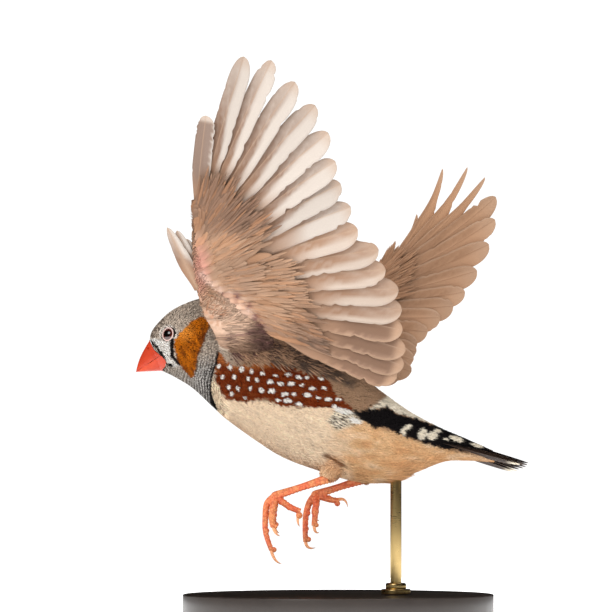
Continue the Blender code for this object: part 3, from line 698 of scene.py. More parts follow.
@dataclass(frozen=True)
class LegFinish:
    """Scaly skin of shanks and toes, orange with redder patches."""

    name: str = "leg_scales"

    def material(self) -> bpy.types.Material:
        """Builds the finish."""
        board = Board(self.name, Roughness=0.46, Specular_IOR_Level=0.45)
        board.shader.inputs["Subsurface Weight"].default_value = 0.04
        board.shader.inputs["Subsurface Radius"].default_value = (0.001, 0.0003, 0.0002)
        place = board.place()
        cells = board.node("ShaderNodeTexVoronoi", {}, {"Vector": place, "Scale": 1500.0}, "Distance")
        patches = board.noise(330.0, 3.0, place)
        base = board.ramp(patches, [(0.38, Tone.LEG.rgba()), (0.62, Tone.LEG_RED.rgba())])
        board.paint(base, board.ramp(cells, [(0.35, WHITE), (0.75, (0.74, 0.56, 0.52, 1))]))
        board.bump(1 - cells, 0.5, 0.00012)
        return board.material


@dataclass(frozen=True)
class ClawFinish:
    """Pale horn that darkens to the points, by the stored colour."""

    name: str = "claw_horn"

    def material(self) -> bpy.types.Material:
        """Builds the finish."""
        board = Board(self.name, Roughness=0.35, Specular_IOR_Level=0.5)
        grain = board.noise(2500.0, 2.0)
        board.paint(board.tint(), board.shade(grain, 0.3, 0.7, (0.85, 0.82, 0.8)))
        board.bump(grain, 0.2, 0.00005)
        return board.material


@dataclass(frozen=True)
class WoodFinish:
    """Dark turned wood under a thin satin lacquer."""

    name: str = "stand_wood"

    def material(self) -> bpy.types.Material:
        """Builds the finish."""
        board = Board(self.name, Roughness=0.42, Coat_Weight=0.35, Coat_Roughness=0.25)
        values = {"Vector": board.place(), "Scale": (14.0, 260.0, 120.0)}
        stretched = board.node("ShaderNodeMapping", {}, values, "Vector")
        grain = board.noise(1.0, 5.0, stretched)
        pores = board.noise(5.0, 3.0, stretched)
        lines = grain * 0.7 + pores * 0.3
        board.feed("Base Color", board.blend(Tone.WOOD_DARK.rgba(), Tone.WOOD.rgba(), lines))
        board.feed("Roughness", lines * 0.25 + 0.32)
        board.bump(lines, 0.2, 0.0001)
        return board.material


@dataclass(frozen=True)
class BrassFinish:
    """Drawn brass with fine lines and a slight bloom."""

    name: str = "stand_brass"

    def material(self) -> bpy.types.Material:
        """Builds the finish."""
        board = Board(self.name, Metallic=1.0)
        board.shader.inputs["Base Color"].default_value = Tone.BRASS.rgba()
        values = {"Vector": board.place(), "Scale": (300.0, 300.0, 6000.0)}
        lines = board.noise(1.0, 3.0, board.node("ShaderNodeMapping", {}, values, "Vector"))
        bloom = board.noise(180.0, 3.0)
        board.feed("Roughness", lines * 0.12 + bloom * 0.16 + 0.16)
        board.bump(lines, 0.06, 0.00005)
        return board.material


@dataclass(frozen=True)
class FloorFinish:
    """A matt white table that glows a little, so that it shows no shadow edge."""

    name: str = "studio_floor"
    white: float = 0.86
    glow: float = 0.85

    def material(self) -> bpy.types.Material:
        """Builds the finish."""
        board = Board(self.name, Roughness=0.9, Specular_IOR_Level=0.1)
        board.shader.inputs["Base Color"].default_value = (self.white,) * 3 + (1,)
        board.shader.inputs["Emission Color"].default_value = WHITE
        board.shader.inputs["Emission Strength"].default_value = self.glow
        return board.material


@dataclass
class Trunk:
    """The whole body from the bill's base to past the root of the tail.

    Each station is the top and bottom of one section in the bird's middle plane (x, z) and its half width.
    The last two stations carry the tail's coverts on over the tail feathers.
    """

    stations: tuple = (
        ((-51.0, 73.4), (-47.6, 65.3), 3.5),
        ((-49.8, 76.8), (-44.2, 63.7), 5.6),
        ((-44.6, 81.8), (-39.2, 60.6), 7.8),
        ((-36.6, 85.0), (-33.8, 55.6), 8.9),
        ((-30.8, 84.4), (-29.9, 52.0), 9.9),
        ((-22.6, 79.4), (-21.6, 46.0), 11.8),
        ((-14.0, 73.8), (-14.6, 41.8), 12.8),
        ((-5.0, 69.6), (-6.0, 38.6), 13.0),
        ((4.0, 65.6), (4.0, 35.6), 12.0),
        ((11.8, 59.6), (12.4, 35.2), 9.9),
        ((19.4, 54.2), (20.8, 38.0), 6.8),
        ((27.2, 50.1), (28.4, 41.0), 4.4),
        ((34.4, 47.0), (34.8, 41.3), 3.5),
        ((41.4, 43.9), (41.8, 40.9), 2.4),
    )
    bank: float = math.radians(12.0)
    swing_slope: float = math.tan(math.radians(9.0))
    swing_from: float = -26.0
    swing_softness: float = 10.0
    rows_per_station: int = 40
    columns: int = 240
    skin_depth: float = 0.7

    def __post_init__(self) -> None:
        """Makes the table of the body's surface."""
        last = len(self.stations) - 1
        self.surface = Surface(self.rings(np.linspace(0, last, last * self.rows_per_station + 1)))

    def swing(self, x: Array) -> Array:
        """How far the middle plane stands to the right."""
        softness = self.swing_softness
        return -self.swing_slope * softness * np.log1p(np.exp((x - self.swing_from) / softness))

    def rings(self, places: Array) -> Array:
        """Sections of the body.

        Args:
            places: where they are, counted in stations.

        Returns:
            A table of points, one row for each place.
        """
        top = spline([(t[0], 0, t[1]) for t, _, _ in self.stations], places)
        bottom = spline([(b[0], 0, b[1]) for _, b, _ in self.stations], places)
        wide = spline([(w,) for _, _, w in self.stations], places)
        centre = (top + bottom) / 2
        up = unit(top - bottom)
        tall = np.linalg.norm(top - bottom, axis=-1, keepdims=True) / 2
        centre[:, 1] = self.swing(centre[:, 0])
        bank = (self.bank * smooth((places - 2) / 3))[:, None]
        across = np.array([[0.0, 1.0, 0.0]])
        up, side = up * np.cos(bank) + across * np.sin(bank), across * np.cos(bank) - up * np.sin(bank)
        return ellipses(centre, up * tall, side * wide, self.columns)

    @classmethod
    def spine(cls, x: Array) -> Array:
        """The height of the back's middle line."""
        return height_at([top for top, _, _ in cls.stations], x)

    def row(self, place: float) -> float:
        """The table's row at a place counted in stations."""
        return place * self.rows_per_station

    def left_view(self, rows: Array, columns: Array) -> tuple[Array, Array]:
        """Where a point of either side shows on the left side, as (x, z)."""
        columns = columns % self.columns
        mirrored = np.where(columns > self.columns / 2, columns, self.columns - columns)
        points = self.surface.read(self.surface.points, rows, mirrored)
        return points[..., 0], points[..., 2]

    def nearest(self, x: float, z: float, side: int) -> tuple[Vector, Vector]:
        """The surface's point and outward direction at an (x, z) of one side."""
        columns = slice(0, self.columns // 2) if side > 0 else slice(self.columns // 2, None)
        points = self.surface.points[:, columns]
        gaps = np.hypot(points[..., 0] - x, points[..., 2] - z)
        row, column = np.unravel_index(np.argmin(gaps), gaps.shape)
        return Vector(points[row, column]), Vector(self.surface.normals[:, columns][row, column])


@dataclass
class Markings:
    """The plumage's markings, drawn on the left side as (x, z) and mirrored on the right."""

    cheek: tuple = (
        (-35.3, 80.4), (-34.0, 78.9), (-34.3, 77.8), (-35.6, 74.7), (-36.1, 72.9), (-37.5, 69.6),
        (-38.0, 66.9), (-38.7, 64.4), (-39.7, 63.3), (-40.9, 64.6), (-42.6, 66.7), (-43.6, 69.0),
        (-44.2, 71.9), (-44.0, 73.5), (-43.0, 75.4), (-41.3, 77.0), (-39.7, 78.7), (-37.6, 79.9),
    )
    # The painted light on the cheek's upper corner: middle (x, z) and reach
    cheek_painted_light: tuple = (-41.6, 76.0, 4.0)
    tear: tuple = ((-44.7, 73.5), (-44.85, 71.5), (-44.7, 69.2), (-43.8, 68.1), (-42.8, 66.9))
    bill_line: tuple = ((-50.4, 73.2), (-48.9, 71.7), (-47.5, 69.7), (-46.0, 67.8), (-44.9, 66.5))
    lore: tuple = (
        (-51.0, 74.2), (-47.6, 73.9), (-46.4, 73.2), (-45.2, 72.6), (-44.9, 69.4), (-43.8, 68.0),
        (-42.9, 66.3), (-44.5, 66.2), (-46.0, 67.0), (-47.4, 68.9), (-48.6, 70.6), (-50.2, 72.4),
        (-51.6, 73.4),
    )
    # The pale ring round the eye: middle (x, z), reach and softness
    eye_ring: tuple = (-45.8, 75.2, 2.9, 0.8)
    # Painted shade in the hollow under the wing's root
    hollow: tuple = (
        (-28.0, 73.0), (-20.0, 73.5), (-11.0, 71.5), (-2.0, 68.0), (6.0, 63.5), (4.0, 60.0), (-2.0, 62.8),
        (-9.0, 65.6), (-18.0, 68.2), (-27.0, 69.5),
    )
    # The line of painted shade in the fold before the thigh, and the glow on the thigh as an oval
    shaded_crease: tuple = ((-3.6, 42.6), (-1.6, 41.9), (0.6, 40.6), (1.4, 39.6))
    thigh_glow: tuple = (-1.2, 39.4, 3.0, 3.4, 0.0)
    # The finely barred patch before the rump, with its two pale tufts as ovals
    streaks: tuple = ((-3.2, 52.0), (-0.6, 55.2), (3.4, 54.9), (6.8, 51.6), (2.6, 50.2), (-0.6, 49.2))
    streak_tuft: tuple = (4.6, 52.0, 1.7, 0.7, -0.35)
    white_tuft: tuple = (1.2, 54.7, 2.6, 0.7, -0.25)
    breast_line: tuple = (
        (-31.6, 73.5), (-32.5, 70.0), (-32.9, 67.3), (-33.8, 65.3), (-34.3, 62.8), (-34.5, 60.3),
        (-34.1, 57.2), (-33.3, 55.1),
    )
    flank: tuple = (
        (-32.2, 70.1), (-30.7, 68.3), (-28.2, 66.7), (-23.5, 66.8), (-18.0, 67.4), (-15.3, 67.2),
        (-13.1, 66.3), (-8.4, 64.5), (-3.4, 63.7), (-2.1, 62.6), (-1.0, 59.5), (2.7, 56.5), (4.0, 54.6),
        (-0.7, 55.1), (-7.0, 55.7), (-15.3, 55.8), (-17.5, 57.1), (-19.7, 58.0), (-24.1, 57.1),
        (-26.8, 57.1), (-30.2, 57.9), (-31.8, 59.8), (-32.9, 63.1), (-33.2, 65.9),
    )
    # Where the brown back meets the pale underside
    under_line: tuple = (
        (-60.0, 66.0), (-33.0, 63.0), (-30.0, 58.5), (-15.0, 56.5), (0.0, 55.4), (5.0, 53.0), (9.6, 50.2),
        (14.5, 49.2), (20.9, 46.8), (27.5, 44.7), (36.0, 43.0), (46.0, 41.0),
    )
    # The lowest line of breast and belly, in orange shade
    keel: tuple = (
        (-30.0, 52.0), (-21.6, 46.0), (-14.6, 41.8), (-6.0, 38.6), (4.0, 35.6), (12.4, 35.2), (20.8, 38.0),
    )
    coal: tuple = (
        (3.3, 54.4), (9.3, 55.2), (12.9, 55.7), (15.8, 53.9), (18.8, 53.1), (21.7, 52.2), (24.7, 51.1),
        (27.7, 50.4), (36.0, 48.0), (45.0, 44.0), (45.0, 41.6), (36.0, 43.6), (27.5, 44.7), (20.9, 46.8),
        (16.6, 48.0), (14.5, 49.2), (12.6, 50.2), (9.6, 50.1), (7.5, 51.1), (5.3, 52.8),
    )
    coal_top: int = 10
    # White ovals on the rump: middle (x, z), half length, half height and slope in degrees
    ovals: tuple = (
        (18.5, 50.1, 1.4, 0.65, 30.0), (17.5, 49.0, 0.65, 1.0, 10.0), (22.6, 48.4, 1.1, 1.6, -20.0),
        (25.3, 47.9, 1.5, 1.05, 15.0), (26.7, 49.2, 1.1, 0.45, -10.0), (29.0, 47.0, 0.75, 0.35, -15.0),
        (31.7, 47.1, 2.0, 0.7, -16.0), (37.2, 45.3, 1.8, 0.5, -15.0),
    )
    spot_row_gap: float = 2.35
    spot_gap: float = 3.0
    spot_start: tuple = (-33.0, 57.0)
    spot_slope: float = -7.0
    spot_rows: int = 7
    spot_steps: int = 14
    # How far a spot strays along and across its row, its tilt either way in degrees, its range of sizes
    # and how far inside the patch it lies
    spot_stray: tuple = (0.55, 0.4)
    spot_tilt: float = 18
    spot_sizes: tuple = (0.72, 1.25)
    spot_margin: float = 0.5
    bar_period: float = 0.72
    ripple_period: float = 0.6
    seed: int = 11

    def __post_init__(self) -> None:
        """Makes the noise and sets out the flank's spots."""
        self.fine = Mottle(self.seed)
        self.coarse = Mottle(self.seed + 1)
        self.spots = self.set_out_spots()

    def set_out_spots(self) -> Array:
        """Rows of white spots inside the flank patch: x, z, half length, half height and slope."""
        chance = np.random.default_rng(self.seed)
        slope = math.radians(self.spot_slope)
        found = []
        stray_along, stray_up = self.spot_stray
        for row in range(self.spot_rows):
            for step in range(self.spot_steps):
                place = step + 0.5 * (row % 2)
                along = self.spot_gap * place + chance.uniform(-stray_along, stray_along)
                up = self.spot_row_gap * row + chance.uniform(-stray_up, stray_up)
                x = self.spot_start[0] + along * math.cos(slope) - up * math.sin(slope)
                z = self.spot_start[1] + along * math.sin(slope) + up * math.cos(slope)
                rear = smooth((x + 24.0) / 8.0)
                long, tall = 0.42 + 0.38 * rear, 0.6 - 0.16 * rear
                size = chance.uniform(*self.spot_sizes)
                tilt = math.radians(chance.uniform(-self.spot_tilt, self.spot_tilt))
                inside = edge_distance(self.flank, np.array(x), np.array(z), closed=True)
                if inside > self.spot_margin:
                    found.append((x, z, long * size, tall * size, tilt))
        return np.array(found)

    @staticmethod
    def oval(x: Array, z: Array, mark: Array) -> Array:
        """How far out a point lies of an oval mark: below 1 inside it."""
        across, down, long, tall, tilt = mark
        u = (x - across) * math.cos(tilt) + (z - down) * math.sin(tilt)
        v = (z - down) * math.cos(tilt) - (x - across) * math.sin(tilt)
        return np.hypot(u / long, v / tall)

    def head(self, x: Array, z: Array) -> Array:
        """Grey crown and nape with dark speckle, and the barred throat."""
        fleck = smooth((self.fine.at(x * 2.6, z * 2.6) + 0.1) / 0.4)
        fore = 0.36 + 0.42 * smooth((-44.0 - x) / 4.0)
        colour = mix(Tone.CROWN, Tone.SPECKLE, fleck * fore)
        ahead = edge_distance(self.breast_line, x, z)
        ripple = np.sin(2 * math.pi * (ahead / self.ripple_period + 0.6 * self.fine.at(x * 1.1, z * 1.1)))
        nape = smooth((x + 41.5) / 2.5) * smooth((-31.0 - x) / 2.0)
        colour = colour * (1 - 0.4 * (nape * smooth(ripple + 0.3))[..., None])
        eye_x, eye_z, reach, soft = self.eye_ring
        ring = smooth((reach - np.hypot(x - eye_x, z - eye_z)) / soft)
        colour = mix(colour, Tone.LORE, 0.6 * ring)
        wander = 0.4 * self.coarse.at(x * 0.35, z * 0.35) + 0.12 * self.fine.at(x, z)
        wave = np.sin(2 * math.pi * (ahead / self.bar_period + wander))
        broader = 0.45 * smooth((2.4 - ahead) / 2.0)
        bars = mix(Tone.BAR_PALE, Tone.INK, smooth(wave * 0.9 + 0.5 + broader))
        low = smooth((72.0 - z) / 7.0 - 0.02 * ahead)
        return mix(colour, bars, low * (0.95 - 0.4 * smooth((ahead - 2.5) / 6.0)))

    def face(self, colour: Array, x: Array, z: Array) -> Array:
        """White lores, the black line at the bill, the tear stripe and the orange cheek, with painted light
        and shade on it.
        """
        ragged = 0.28 * self.fine.at(x * 1.9, z * 1.9)
        lore = border(edge_distance(self.lore, x, z, closed=True) + 1.3 * ragged, 0.45)
        grains = smooth((self.fine.at(x * 3.4, z * 3.4) - 0.1) / 0.4)
        colour = mix(colour, mix(Tone.LORE, Tone.SPECKLE, 0.3 * grains), lore)
        cheek = edge_distance(self.cheek, x, z, closed=True)
        # Painted light on the cheek's upper corner, and painted shade towards its lower and rear edges
        light_x, light_z, reach = self.cheek_painted_light
        light = smooth(1 - np.hypot(x - light_x, z - light_z) / reach)
        dark = 0.5 * smooth((78.0 - z) / 5.0) + 0.4 * smooth((x + 38.5) / 3.0)
        dark = np.clip(dark + 0.45 * self.fine.at(x * 1.3 + z * 0.7, z * 0.7), 0, 1)
        patch = mix(mix(Tone.CHEEK, Tone.CHEEK_DARK, dark), Tone.CHEEK_PALE, light)
        rim = smooth(1 - np.abs(cheek - 0.1) / 0.45) * smooth((x + 40.0) / 2.0)
        patch = mix(patch, Tone.SPECKLE, rim * 0.8)
        colour = mix(colour, patch, border(cheek + ragged, 0.35))
        tear = edge_distance(self.tear, x, z)
        width = 0.5 - 0.25 * smooth((69.5 - z) / 3.0) + 0.5 * ragged
        colour = mix(colour, Tone.INK, border(width - tear, 0.18))
        line = edge_distance(self.bill_line, x, z) - 0.3 * self.coarse.at(x * 1.2, z * 1.2)
        return mix(colour, Tone.INK, border(0.3 + 0.9 * ragged - line, 0.14))

    def silky(self, x: Array, z: Array) -> Array:
        """1 where the feathers of breast and belly run long and soft, 0 on the head, flank, back and rump."""
        line = height_at(self.under_line, x)
        return smooth((line - z) / 2.0) * smooth((x + 33.5) / 2.0)

    def body(self, x: Array, z: Array) -> Array:
        """Brown back, cream breast and buff belly behind the breast line; painted shade in the thigh's fold
        and under the wing.
        """
        fleck = 0.5 + 0.5 * self.fine.at(x * 1.6, z * 3.1)
        grey = mix(Tone.CROWN, Tone.SPECKLE, 0.3 * fleck)
        brown = mix(Tone.BACK, Tone.SPECKLE, 0.22 * fleck)
        upper = mix(grey, brown, smooth((x + 33.0) / 9.0))
        ragged = 0.5 * self.fine.at(x * 1.4, z * 1.4)
        warm = smooth((x + 6.0) / 14.0 + 0.25 * self.coarse.at(x * 0.35, z * 0.35))
        under = mix(Tone.CREAM, Tone.BUFF, warm)
        under = mix(under, Tone.RUST, 0.35 * smooth((x - 8.0) / 10.0) * smooth((46.0 - z) / 6.0))
        keel = height_at(self.keel, x)
        under = mix(under, Tone.RUST, 0.15 * smooth((keel + 2.6 + ragged - z) / 2.6))
        glow = smooth((1.2 - self.oval(x, z, self.thigh_glow)) / 0.7)
        under = mix(under, Tone.RUST, 0.7 * glow)
        soft = self.coarse.at(x * 0.22 + z * 0.1, z * 0.5) + 0.5 * self.fine.at(x * 0.5, z * 1.6)
        under = mix(under, Tone.RUST, 0.5 * warm * smooth(soft))
        under = mix(under, Tone.CREAM, 0.5 * warm * smooth(-soft))
        along, across = 0.86 * x - 0.5 * z, 0.5 * x + 0.86 * z
        strands = self.coarse.at(along * 0.28, across * 1.1) + 0.6 * self.fine.at(along * 0.5, across * 2.6)
        under = under * (1 + 0.09 * strands)[..., None]
        # Painted shade along the fold before the thigh
        crease_shade = smooth((1.2 - edge_distance(self.shaded_crease, x, z)) / 1.0)
        crease_shade = crease_shade * smooth(0.6 + 1.5 * self.fine.at(along * 0.5, across * 3.2))
        under = mix(under, Tone.CHESTNUT_PALE.linear() * 0.36, 0.85 * crease_shade)
        line = height_at(self.under_line, x)
        # Painted shade in the hollow under the wing's root, fading out near the back's middle line
        hollow = smooth(edge_distance(self.hollow, x, z, closed=True) / 1.6 + 0.3)
        hollow = hollow * smooth((Trunk.spine(x) - 0.8 - z) / 2.6)
        upper = mix(upper, Tone.SHADE, hollow * (0.75 + 0.25 * self.fine.at(x * 0.8, z * 2.2)))
        return mix(upper, under, border(line - z + ragged, 1.2))

    def flanks(self, colour: Array, x: Array, z: Array) -> Array:
        """The chestnut patch with its white spots and the painted shadow round them."""
        inside = edge_distance(self.flank, x, z, closed=True)
        ragged = 0.5 * self.fine.at(x * 1.5, z * 1.5)
        upper_edge = smooth(1.2 - inside / 1.6) * smooth((z - 63.5) / 2.5) * smooth((-14.0 - x) / 6.0)
        shade = 0.25 * self.coarse.at(x * 0.8, z * 2.0)
        patch = mix(Tone.CHESTNUT, Tone.CHESTNUT_PALE, np.clip(0.75 * upper_edge + shade, 0, 1))
        white = np.zeros(np.shape(x))
        ring = np.zeros(np.shape(x))
        for mark in self.spots:
            reach = self.oval(x, z, mark)
            white = np.maximum(white, border(1.08 - reach, 0.3))
            ring = np.maximum(ring, smooth((1.9 - reach) / 0.6))
        # Painted shadow in a ring round each white spot
        patch = patch * (1 - 0.35 * ring[..., None])
        patch = mix(patch, Tone.SPOT, white)
        return mix(colour, patch, border(inside + ragged, 0.5))

    def rump(self, colour: Array, x: Array, z: Array) -> Array:
        """The rump's black side with white ovals, the white strip above it and the streaks before it."""
        ragged = 0.4 * self.fine.at(x * 1.3, z * 1.3) + 0.35 * self.coarse.at(x * 3.0 + z, z * 1.2)
        coal = edge_distance(self.coal, x, z, closed=True)
        top = height_at(self.coal[: self.coal_top], x)
        strip = border(x - 9.6 - 1.4 * (z - 56.1), 1.2) * border(z - top, 0.5)
        streak = smooth((self.fine.at(x * 0.9, z * 3.2) - 0.05) / 0.4) * smooth((15.0 - x) / 5.0)
        pale = mix(Tone.RUMP, Tone.SPECKLE, streak * 0.8)
        colour = mix(colour, pale, strip)
        colour = mix(colour, Tone.COAL, border(coal + ragged, 0.4))
        for x0, z0, long, tall, slope in self.ovals:
            reach = self.oval(x, z, (x0, z0, long, tall, math.radians(slope)))
            colour = mix(colour, Tone.RUMP, border(1.0 - reach, 0.3))
        patch = smooth(edge_distance(self.streaks, x, z, closed=True) / 1.4 + 0.4)
        wave = np.sin((x * 0.6 + z * 0.8) * 9.5 + 2.2 * self.coarse.at(x * 0.5, z * 0.5))
        lines = smooth(wave * 0.9 + 0.4)
        colour = mix(colour, mix(Tone.RUMP, Tone.INK, lines), patch * 0.9)
        for mark in (self.white_tuft, self.streak_tuft):
            tuft = border(1.0 - self.oval(x, z, mark), 0.4)
            colour = mix(colour, Tone.SPOT, tuft * 0.9)
        return colour

    def colour(self, x: Array, z: Array) -> Array:
        """The plumage's colour at some points of the left view.

        Args:
            x: places along the bird, in millimetres.
            z: heights, in millimetres.

        Returns:
            Linear colours, one more axis than x.
        """
        line = np.array(self.breast_line)[::-1]
        front = np.interp(z, line[:, 1], line[:, 0])
        behind = border(x - front, 0.4) * smooth((80.0 - z) / 6.0 + 0.3)
        behind = np.maximum(behind, smooth((x + 31.0) / 7.0))
        colour = mix(self.face(self.head(x, z), x, z), self.body(x, z), behind)
        colour = self.rump(self.flanks(colour, x, z), x, z)
        gap = edge_distance(self.breast_line, x, z)
        width = 0.32 + 0.35 * smooth((60.0 - z) / 5.0)
        stripe = border(width - gap, 0.2) * smooth((71.5 - z) / 2.0)
        return mix(colour, Tone.INK, stripe)


@dataclass(frozen=True)
class Growth:
    """How tufts grow at one station of a body: gap between roots, length, width of a blade and its lift."""

    gap: float
    length: float
    width: float
    lift: float

    def rows(self, count: int) -> Array:
        """This growth for a number of tufts, one row for each."""
        return np.tile(astuple(self), (count, 1))


@dataclass
class Coat:
    """Grows tufts of narrow pointed blades on a surface."""

    blades: int = 5
    fan: float = 0.42
    root_depth: float = 0.9
    plain_depth: float = 0.7
    shares: tuple = (0.0, 0.5, 0.8, 1.0)
    widths: tuple = (0.6, 1.0, 0.84, 0.0)
    heights: tuple = (-1.0, -0.17, -0.02, 0.0)
    # Shares of the colour from a blade's root to its tip: the darker roots are painted shade between the
    # layers
    shades: tuple = (0.86, 0.94, 1.0, 1.03)
    unevenness: float = 0.05
    smear: float = 0.1
    roll: float = 0.07
    # Ranges of a blade's length, width and lift against its growth, how far it turns from its tuft's lie
    # and starts before or behind its root, and how far apart a tuft's blades stand, both in gaps
    length_range: tuple = (0.78, 1.15)
    width_range: tuple = (0.8, 1.2)
    lift_range: tuple = (0.2, 1.0)
    stray: float = 0.09
    start: float = 0.5
    apart: float = 1.5
    ridge: float = 0.5
    # How far a root strays round its ring and across it, in gaps
    root_stray: tuple = (0.3, 0.4)
    fewest_roots: int = 6
    patch: float = 0.003
    seed: int = 5

    def __post_init__(self) -> None:
        """Starts the seeded chance."""
        self.chance = np.random.default_rng(self.seed)

    def roots(self, surface: Surface, rows: Array, gaps: Array) -> tuple[Array, Array]:
        """Sets roots out in rings whose gaps follow the growth.

        Args:
            surface: what they grow on.
            rows: the table's rows where the growth is given.
            gaps: the gap between roots at those rows.

        Returns:
            The row and column of each root.
        """
        found_rows, found_columns = [], []
        aside, across = self.root_stray
        row, ring = float(rows[0]), 0
        while row < rows[-1]:
            gap = float(np.interp(row, rows, gaps))
            round_it = np.arange(surface.columns)
            girth = surface.read(surface.column_pace, np.full(surface.columns, row), round_it)
            count = max(int(girth.sum() / gap), self.fewest_roots)
            turn = np.cumsum(girth[:, 0])
            wanted = np.arange(count) + 0.5 * (ring % 2) + self.chance.uniform(-aside, aside, count)
            wanted = wanted / count
            columns = np.interp(wanted % 1.0 * turn[-1], turn, round_it + 1.0)
            pace = surface.read(surface.row_pace, np.array([row]), np.array([surface.columns * 0.75]))[0, 0]
            found_rows.append(row + self.chance.uniform(-across, across, count) * gap / pace)
            found_columns.append(columns)
            row += gap / pace
            ring += 1
        return np.concatenate(found_rows), np.concatenate(found_columns)

    def grow(
        self,
        surface: Surface,
        rows: Array,
        columns: Array,
        growth: Array,
        turns: Array,
        paint: Painter,
        unwrap: Painter,
        depth: float,
    ) -> Parts:
        """Grows one tuft on each root.

        Args:
            surface: what the tufts grow on.
            rows: the row of each root.
            columns: the column of each root.
            growth: gap, length, width and lift of each tuft.
            turns: how far each tuft is turned from the surface's rows, in radians.
            paint: gives colours for rows and columns.
            unwrap: gives the place on the bake map for rows and columns.
            depth: how deep the skin lies under the coat.

        Returns:
            The blades' parts.
        """
        blades, chance = self.blades, self.chance
        count = len(rows) * blades
        tuft = np.repeat(np.arange(len(rows)), blades)
        spread = np.tile((np.arange(blades) + 0.5) / blades - 0.5, len(rows))
        gap, length, width, lift = growth[tuft].T
        length = length * chance.uniform(*self.length_range, count)
        turn = turns[tuft] + spread * self.fan + chance.normal(0, self.stray, count)
        start = chance.uniform(-self.start, self.start, count) * gap
        aside = spread * gap * self.apart
        shares = np.array(self.shares)
        along = start[:, None] + length[:, None] * shares
        row_pace, column_pace = surface.paces(rows[tuft], columns[tuft])
        ahead, beside = np.cos(turn)[:, None], np.sin(turn)[:, None]
        rows_at = rows[tuft, None] + (along * ahead - aside[:, None] * beside) / row_pace[:, None]
        columns_at = columns[tuft, None] + (along * beside + aside[:, None] * ahead) / column_pace[:, None]
        points, normals = surface.at(rows_at, columns_at)
        heights = np.array(self.heights) * (depth + self.root_depth - self.plain_depth)
        rise = lift[:, None] * shares**2 * chance.uniform(*self.lift_range, count)[:, None]
        centre = points + normals * (heights + rise)[..., None]
        onward = unit(np.gradient(centre, axis=1))
        side = unit(np.cross(normals, onward))
        roll = chance.normal(0, self.roll, count)[:, None, None]
        side = side * np.cos(roll) + normals * np.sin(roll)
        width = width * chance.uniform(*self.width_range, count)
        half = width[:, None] * np.array(self.widths) / 2
        left = centre + side * half[..., None]
        right = centre - side * half[..., None]
        ridge = centre - normals * (half * self.ridge)[..., None]
        rings = np.stack([left, right, ridge], axis=2)
        # Painted shade towards each blade's root, times a random tone for each blade
        shade = np.array(self.shades) * (1 + chance.normal(0, self.unevenness, (count, 1)))
        smear = chance.normal(0, self.smear, (2, count, 1))
        tint = paint(rows_at + smear[0] / row_pace[:, None], columns_at + smear[1] / column_pace[:, None])
        tint = np.clip(tint * shade[..., None], 0, 1)
        u, v = np.moveaxis(unwrap(rows[tuft], columns[tuft]), -1, 0)
        strip = (spread[:, None, None] + np.array([-0.4, 0.4, 0.0]) / blades) * self.patch
        size = (count, len(shares), 3)
        bake_u = np.broadcast_to(u[:, None, None] + strip, size)
        bake_v = np.broadcast_to(v[:, None, None] + (shares[:, None] - 0.5) * self.patch, size)
        return self.assembled(rings, tint, np.stack([bake_u, bake_v], -1))

    @staticmethod
    def assembled(rings: Array, tint: Array, bake: Array) -> Parts:
        """Closes rings of three points and a tip into triangles."""
        count, levels = rings.shape[:2]
        body = levels - 1
        points = np.concatenate([rings[:, :body].reshape(count, -1, 3), rings[:, body, :1]], axis=1)
        colours = np.repeat(tint[:, :body], 3, axis=1)
        colours = np.concatenate([colours, tint[:, body:]], axis=1)
        places = np.concatenate([bake[:, :body].reshape(count, -1, 2), bake[:, body, 2:]], axis=1)
        faces = [(0, 2, 1)]
        for level in range(body - 1):
            l0, r0, g0 = 3 * level, 3 * level + 1, 3 * level + 2
            l1, r1, g1 = l0 + 3, r0 + 3, g0 + 3
            for a, b, c, d in ((l0, r0, r1, l1), (r0, g0, g1, r1), (g0, l0, l1, g1)):
                faces += [(a, b, c), (a, c, d)]
        end, tip = 3 * (body - 1), 3 * body
        faces += [(end, end + 1, tip), (end + 1, end + 2, tip), (end + 2, end, tip)]
        size = points.shape[1]
        index = np.array(faces)[None] + (np.arange(count) * size)[:, None, None]
        return Parts(
            points.reshape(-1, 3), index.reshape(-1, 3), colours.reshape(-1, 3), places.reshape(-1, 2)
        )


@dataclass(frozen=True)
class Cut:
    """The cut of one kind of feather."""

    outer_web: float = 0.42
    root_width: float = 0.3
    fullest: float = 0.5
    rounding: float = 0.2
    thickness: float = 0.14
    shaft: float = 0.34
    camber: float = 0.05
    splits: int = 5
    notch: float = 0.0
    rows: int = 46
    columns: tuple = (-1.0, -0.8, -0.58, -0.36, -0.16, -0.05, 0.0, 0.06, 0.2, 0.45, 0.72, 1.0)


@dataclass(frozen=True)
class Lie:
    """How one feather lies.

    The width is its full one. The tilt is how far its leading edge turns up, in radians. The bow is how far
    its shaft bends away from that edge, and the arch how far it curves up between its ends, both as shares
    of its length. The height is how far it stands off the wing's plane, and the lift how far it rises off
    its root.
    """

    width: float
    tilt: float = 0.0
    bow: float = 0.0
    arch: float = 0.0
    height: float = 0.0
    lift: float = 0.0


